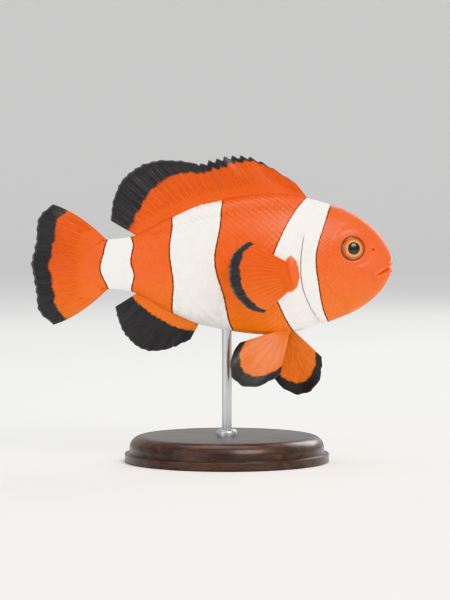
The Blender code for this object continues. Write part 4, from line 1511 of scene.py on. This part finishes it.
def studio_cove():
    """A pale round floor that curves up into a low wall on every side."""
    bends = np.linspace(0.0, np.pi / 2, 16)
    profile = [(0.0, 0.0), *((FLOOR_RADIUS + WALL_BEND * math.sin(a), WALL_BEND * (1.0 - math.cos(a)))
                             for a in bends)]
    points, rings = turned(profile, 0.0, 96)
    return mesh_from("studio_cove", points, ring_faces(rings))


def add_light(name, spot, size, power, colour):
    """A soft square lamp that faces the middle of the fish."""
    lamp = bpy.data.lights.new(name, "AREA")
    lamp.size = size
    lamp.energy = power
    lamp.color = linear(colour)[:3]
    made = new_object(name, lamp)
    made.location = spot
    made.rotation_euler = (Vector((0.0, 0.0, AXIS_Z)) - Vector(spot)).to_track_quat("-Z", "Y").to_euler()


# Settings -------------------------------------------------------------------------------------------


class FishColours(bpy.types.PropertyGroup):
    """Colours of the skin between the bars, the bars and the fin margins."""

    orange: FloatVectorProperty(
        name="Orange", description="Skin between the bars", subtype="COLOR", size=3,
        default=linear("#EF6517")[:3])
    white: FloatVectorProperty(
        name="White", description="The three bars", subtype="COLOR", size=3,
        default=linear("#F1F0EC")[:3])
    margin: FloatVectorProperty(
        name="Margin", description="Dark margins of the fins", subtype="COLOR", size=3,
        default=linear("#373638")[:3])


class ScaleShape(bpy.types.PropertyGroup):
    """Shape of one scale, as shares of its length."""

    lift: FloatProperty(
        name="Lift", description="How far the free rim stands off the skin", default=0.10, min=0.0, max=0.3)
    dome: FloatProperty(
        name="Dome", description="How far the sides bend down", default=0.05, min=0.0, max=0.2)
    thickness: FloatProperty(
        name="Thickness", description="Thickness of the plate", default=0.030, min=0.005, max=0.1)
    rows: IntProperty(
        name="Rows", description="Rows of scales around the body", default=48, min=24, max=60)


class FinShape(bpy.types.PropertyGroup):
    """Thickness of the fins."""

    web: FloatProperty(
        name="Web", description="Thickness of the web between the rays", default=0.12 * MM, min=0.05 * MM,
        max=0.6 * MM, subtype="DISTANCE", unit="LENGTH")


class StageSettings(bpy.types.PropertyGroup):
    """Camera and light of the studio."""

    elevation: FloatProperty(
        name="Elevation", description="Height of the camera above the level", default=math.radians(3.0),
        min=0.0, max=math.radians(80.0), subtype="ANGLE", unit="ROTATION")
    distance: FloatProperty(
        name="Distance", description="From the camera to the fish", default=0.80, min=0.3, max=3.0,
        subtype="DISTANCE", unit="LENGTH")
    brightness: FloatProperty(
        name="Brightness", description="Strength of all lamps together", default=1.0, min=0.1, max=5.0,
        subtype="FACTOR")


# Operators ------------------------------------------------------------------------------------------


class MakeSkin(bpy.types.Operator):
    """Builds the one skin over head, gill covers, trunk and tail stalk"""

    bl_idname = "clownfish.make_skin"
    bl_label = "Make Skin"

    def execute(self, context):
        mesh = skin_mesh()
        mesh.materials.append(skin_material(context.scene.fish_colours))
        link_piece("skin", mesh, "skin", "head", "lower_jaw", "gill_cover_left", "gill_cover_right", "trunk",
                   "tail_stalk")
        return {"FINISHED"}


class MakeScales(bpy.types.Operator):
    """Lays overlapping scales over the skin, a coat for each flank"""

    bl_idname = "clownfish.make_scales"
    bl_label = "Make Scales"

    def execute(self, context):
        material = scale_material(context.scene.fish_colours)
        chance = np.random.default_rng(11)
        sites = body_scales(context.scene.scale_shape.rows)
        sites[-1] = sites[-1] * chance.uniform(*SCALE_TONES, len(sites[0]))
        station = station_and_level(sites[0])[0]
        leftward = sites[0][:, 1] - sway(station) > 0
        for side, on_side in (("left", leftward), ("right", ~leftward)):
            grow_scales(context, f"scales_fore_{side}", sites, on_side & (station < COAT_JOIN), material)
            grow_scales(context, f"scales_aft_{side}", sites, on_side & (station >= COAT_JOIN), material)
        for strip, name in enumerate(FIN_COATS):
            sites = fin_scales(name, strip, context.scene.fin_shape.web, chance)
            every = np.full(len(sites[0]), True)
            grow_scales(context, f"scales_on_{name}", sites, every, material, barred=False)
        return {"FINISHED"}


class MakeFins(bpy.types.Operator):
    """Builds the seven fins, each a web with its bony rays"""

    bl_idname = "clownfish.make_fins"
    bl_label = "Make Fins"

    def execute(self, context):
        colours = context.scene.fish_colours
        web = fin_material(colours, "fin_web_skin", 0.25, 0.16, 1.0)
        bone = fin_material(colours, "fin_ray_bone", 0.06, 0.06, RAY_JOINT)
        tree = fin_tree()
        for name in FINS:
            mesh = fin_mesh(name, tree, context.scene.fin_shape.web, (web, bone))
            nodes = ("dorsal_fin_spines", "dorsal_fin_rays") if name == "dorsal_fin" else (name,)
            link_piece(f"{name}_rayed", mesh, "fins", *nodes)
        return {"FINISHED"}


class MakeEyes(bpy.types.Operator):
    """Builds both eyes"""

    bl_idname = "clownfish.make_eyes"
    bl_label = "Make Eyes"

    def execute(self, context):
        material = iris_material()
        for side, sign in SIDES.items():
            mesh = eyeball_mesh(f"eyeball_{side}", sign)
            mesh.materials.append(material)
            link_piece(f"eyeball_{side}", mesh, "eye", f"eye_{side}")
        return {"FINISHED"}


class MakeStand(bpy.types.Operator):
    """Turns the walnut base, the steel rod and its collar"""

    bl_idname = "clownfish.make_stand"
    bl_label = "Make Stand"

    def execute(self, context):
        walnut, steel = walnut_material(), steel_material()
        for name, profile, material, slot, nodes in (
            ("stand_base_turned", base_profile(), walnut, "walnut", ("stand_base",)),
            ("stand_rod_drawn", rod_profile(), steel, "steel", ("stand_rod",)),
            ("stand_collar", collar_profile(), steel, "steel", ()),
        ):
            mesh = lathe(name, profile)
            mesh.materials.append(material)
            link_piece(name, mesh, slot, *nodes)
        return {"FINISHED"}


class MakeStage(bpy.types.Operator):
    """Sets up the pale cove, the soft lamps and the camera"""

    bl_idname = "clownfish.make_stage"
    bl_label = "Make Stage"

    def execute(self, context):
        scene, stage = context.scene, context.scene.stage_settings
        mesh = studio_cove()
        mesh.materials.append(paper_material())
        new_object("studio_cove", mesh)
        for name, spot, size, power, colour in LAMPS:
            add_light(name, spot, size, power * stage.brightness, colour)
        world = bpy.data.worlds.new("studio")
        world.use_nodes = True
        sky = world.node_tree.nodes["Background"].inputs
        sky["Color"].default_value = linear("#F4F6F8")
        sky["Strength"].default_value = 0.68
        scene.world = world
        scene.view_settings.view_transform = "Khronos PBR Neutral"
        camera = bpy.data.cameras.new("camera")
        camera.sensor_fit = "HORIZONTAL"
        camera.sensor_width = SENSOR
        camera.lens = SENSOR * stage.distance / VIEW_WIDTH
        camera.clip_start = 0.01
        made = new_object("camera", camera)
        away = Vector((0.0, -math.cos(stage.elevation), math.sin(stage.elevation)))
        made.location = AIM + stage.distance * away
        made.rotation_euler = (-away).to_track_quat("-Z", "Y").to_euler()
        scene.camera = made
        return {"FINISHED"}


class ClownfishPanel(bpy.types.Panel):
    """Lists the fish's settings and the steps that build it"""

    bl_idname = "VIEW3D_PT_clownfish"
    bl_label = "Clownfish"
    bl_space_type = "VIEW_3D"
    bl_region_type = "UI"
    bl_category = "Clownfish"

    def draw(self, context):
        for title, key in GROUPS:
            box = self.layout.box()
            box.label(text=title)
            settings = getattr(context.scene, key)
            for name in settings.__annotations__:
                box.prop(settings, name)
        for step in STEPS:
            self.layout.operator(step.bl_idname)


GROUPS = (("Colours", "fish_colours"), ("Scales", "scale_shape"), ("Fins", "fin_shape"),
          ("Stage", "stage_settings"))
GROUP_CLASSES = (FishColours, ScaleShape, FinShape, StageSettings)
STEPS = (MakeSkin, MakeScales, MakeFins, MakeEyes, MakeStand, MakeStage)


def register():
    for made in (*GROUP_CLASSES, *STEPS, ClownfishPanel):
        bpy.utils.register_class(made)
    for (_, key), made in zip(GROUPS, GROUP_CLASSES):
        setattr(bpy.types.Scene, key, PointerProperty(type=made))


def unregister():
    for _, key in GROUPS:
        delattr(bpy.types.Scene, key)
    for made in reversed((*GROUP_CLASSES, *STEPS, ClownfishPanel)):
        bpy.utils.unregister_class(made)


def main():
    register()
    bpy.ops.clownfish.make_skin()
    bpy.ops.clownfish.make_scales()
    bpy.ops.clownfish.make_fins()
    bpy.ops.clownfish.make_eyes()
    bpy.ops.clownfish.make_stand()
    bpy.ops.clownfish.make_stage()


if __name__ == "__main__":
    main()
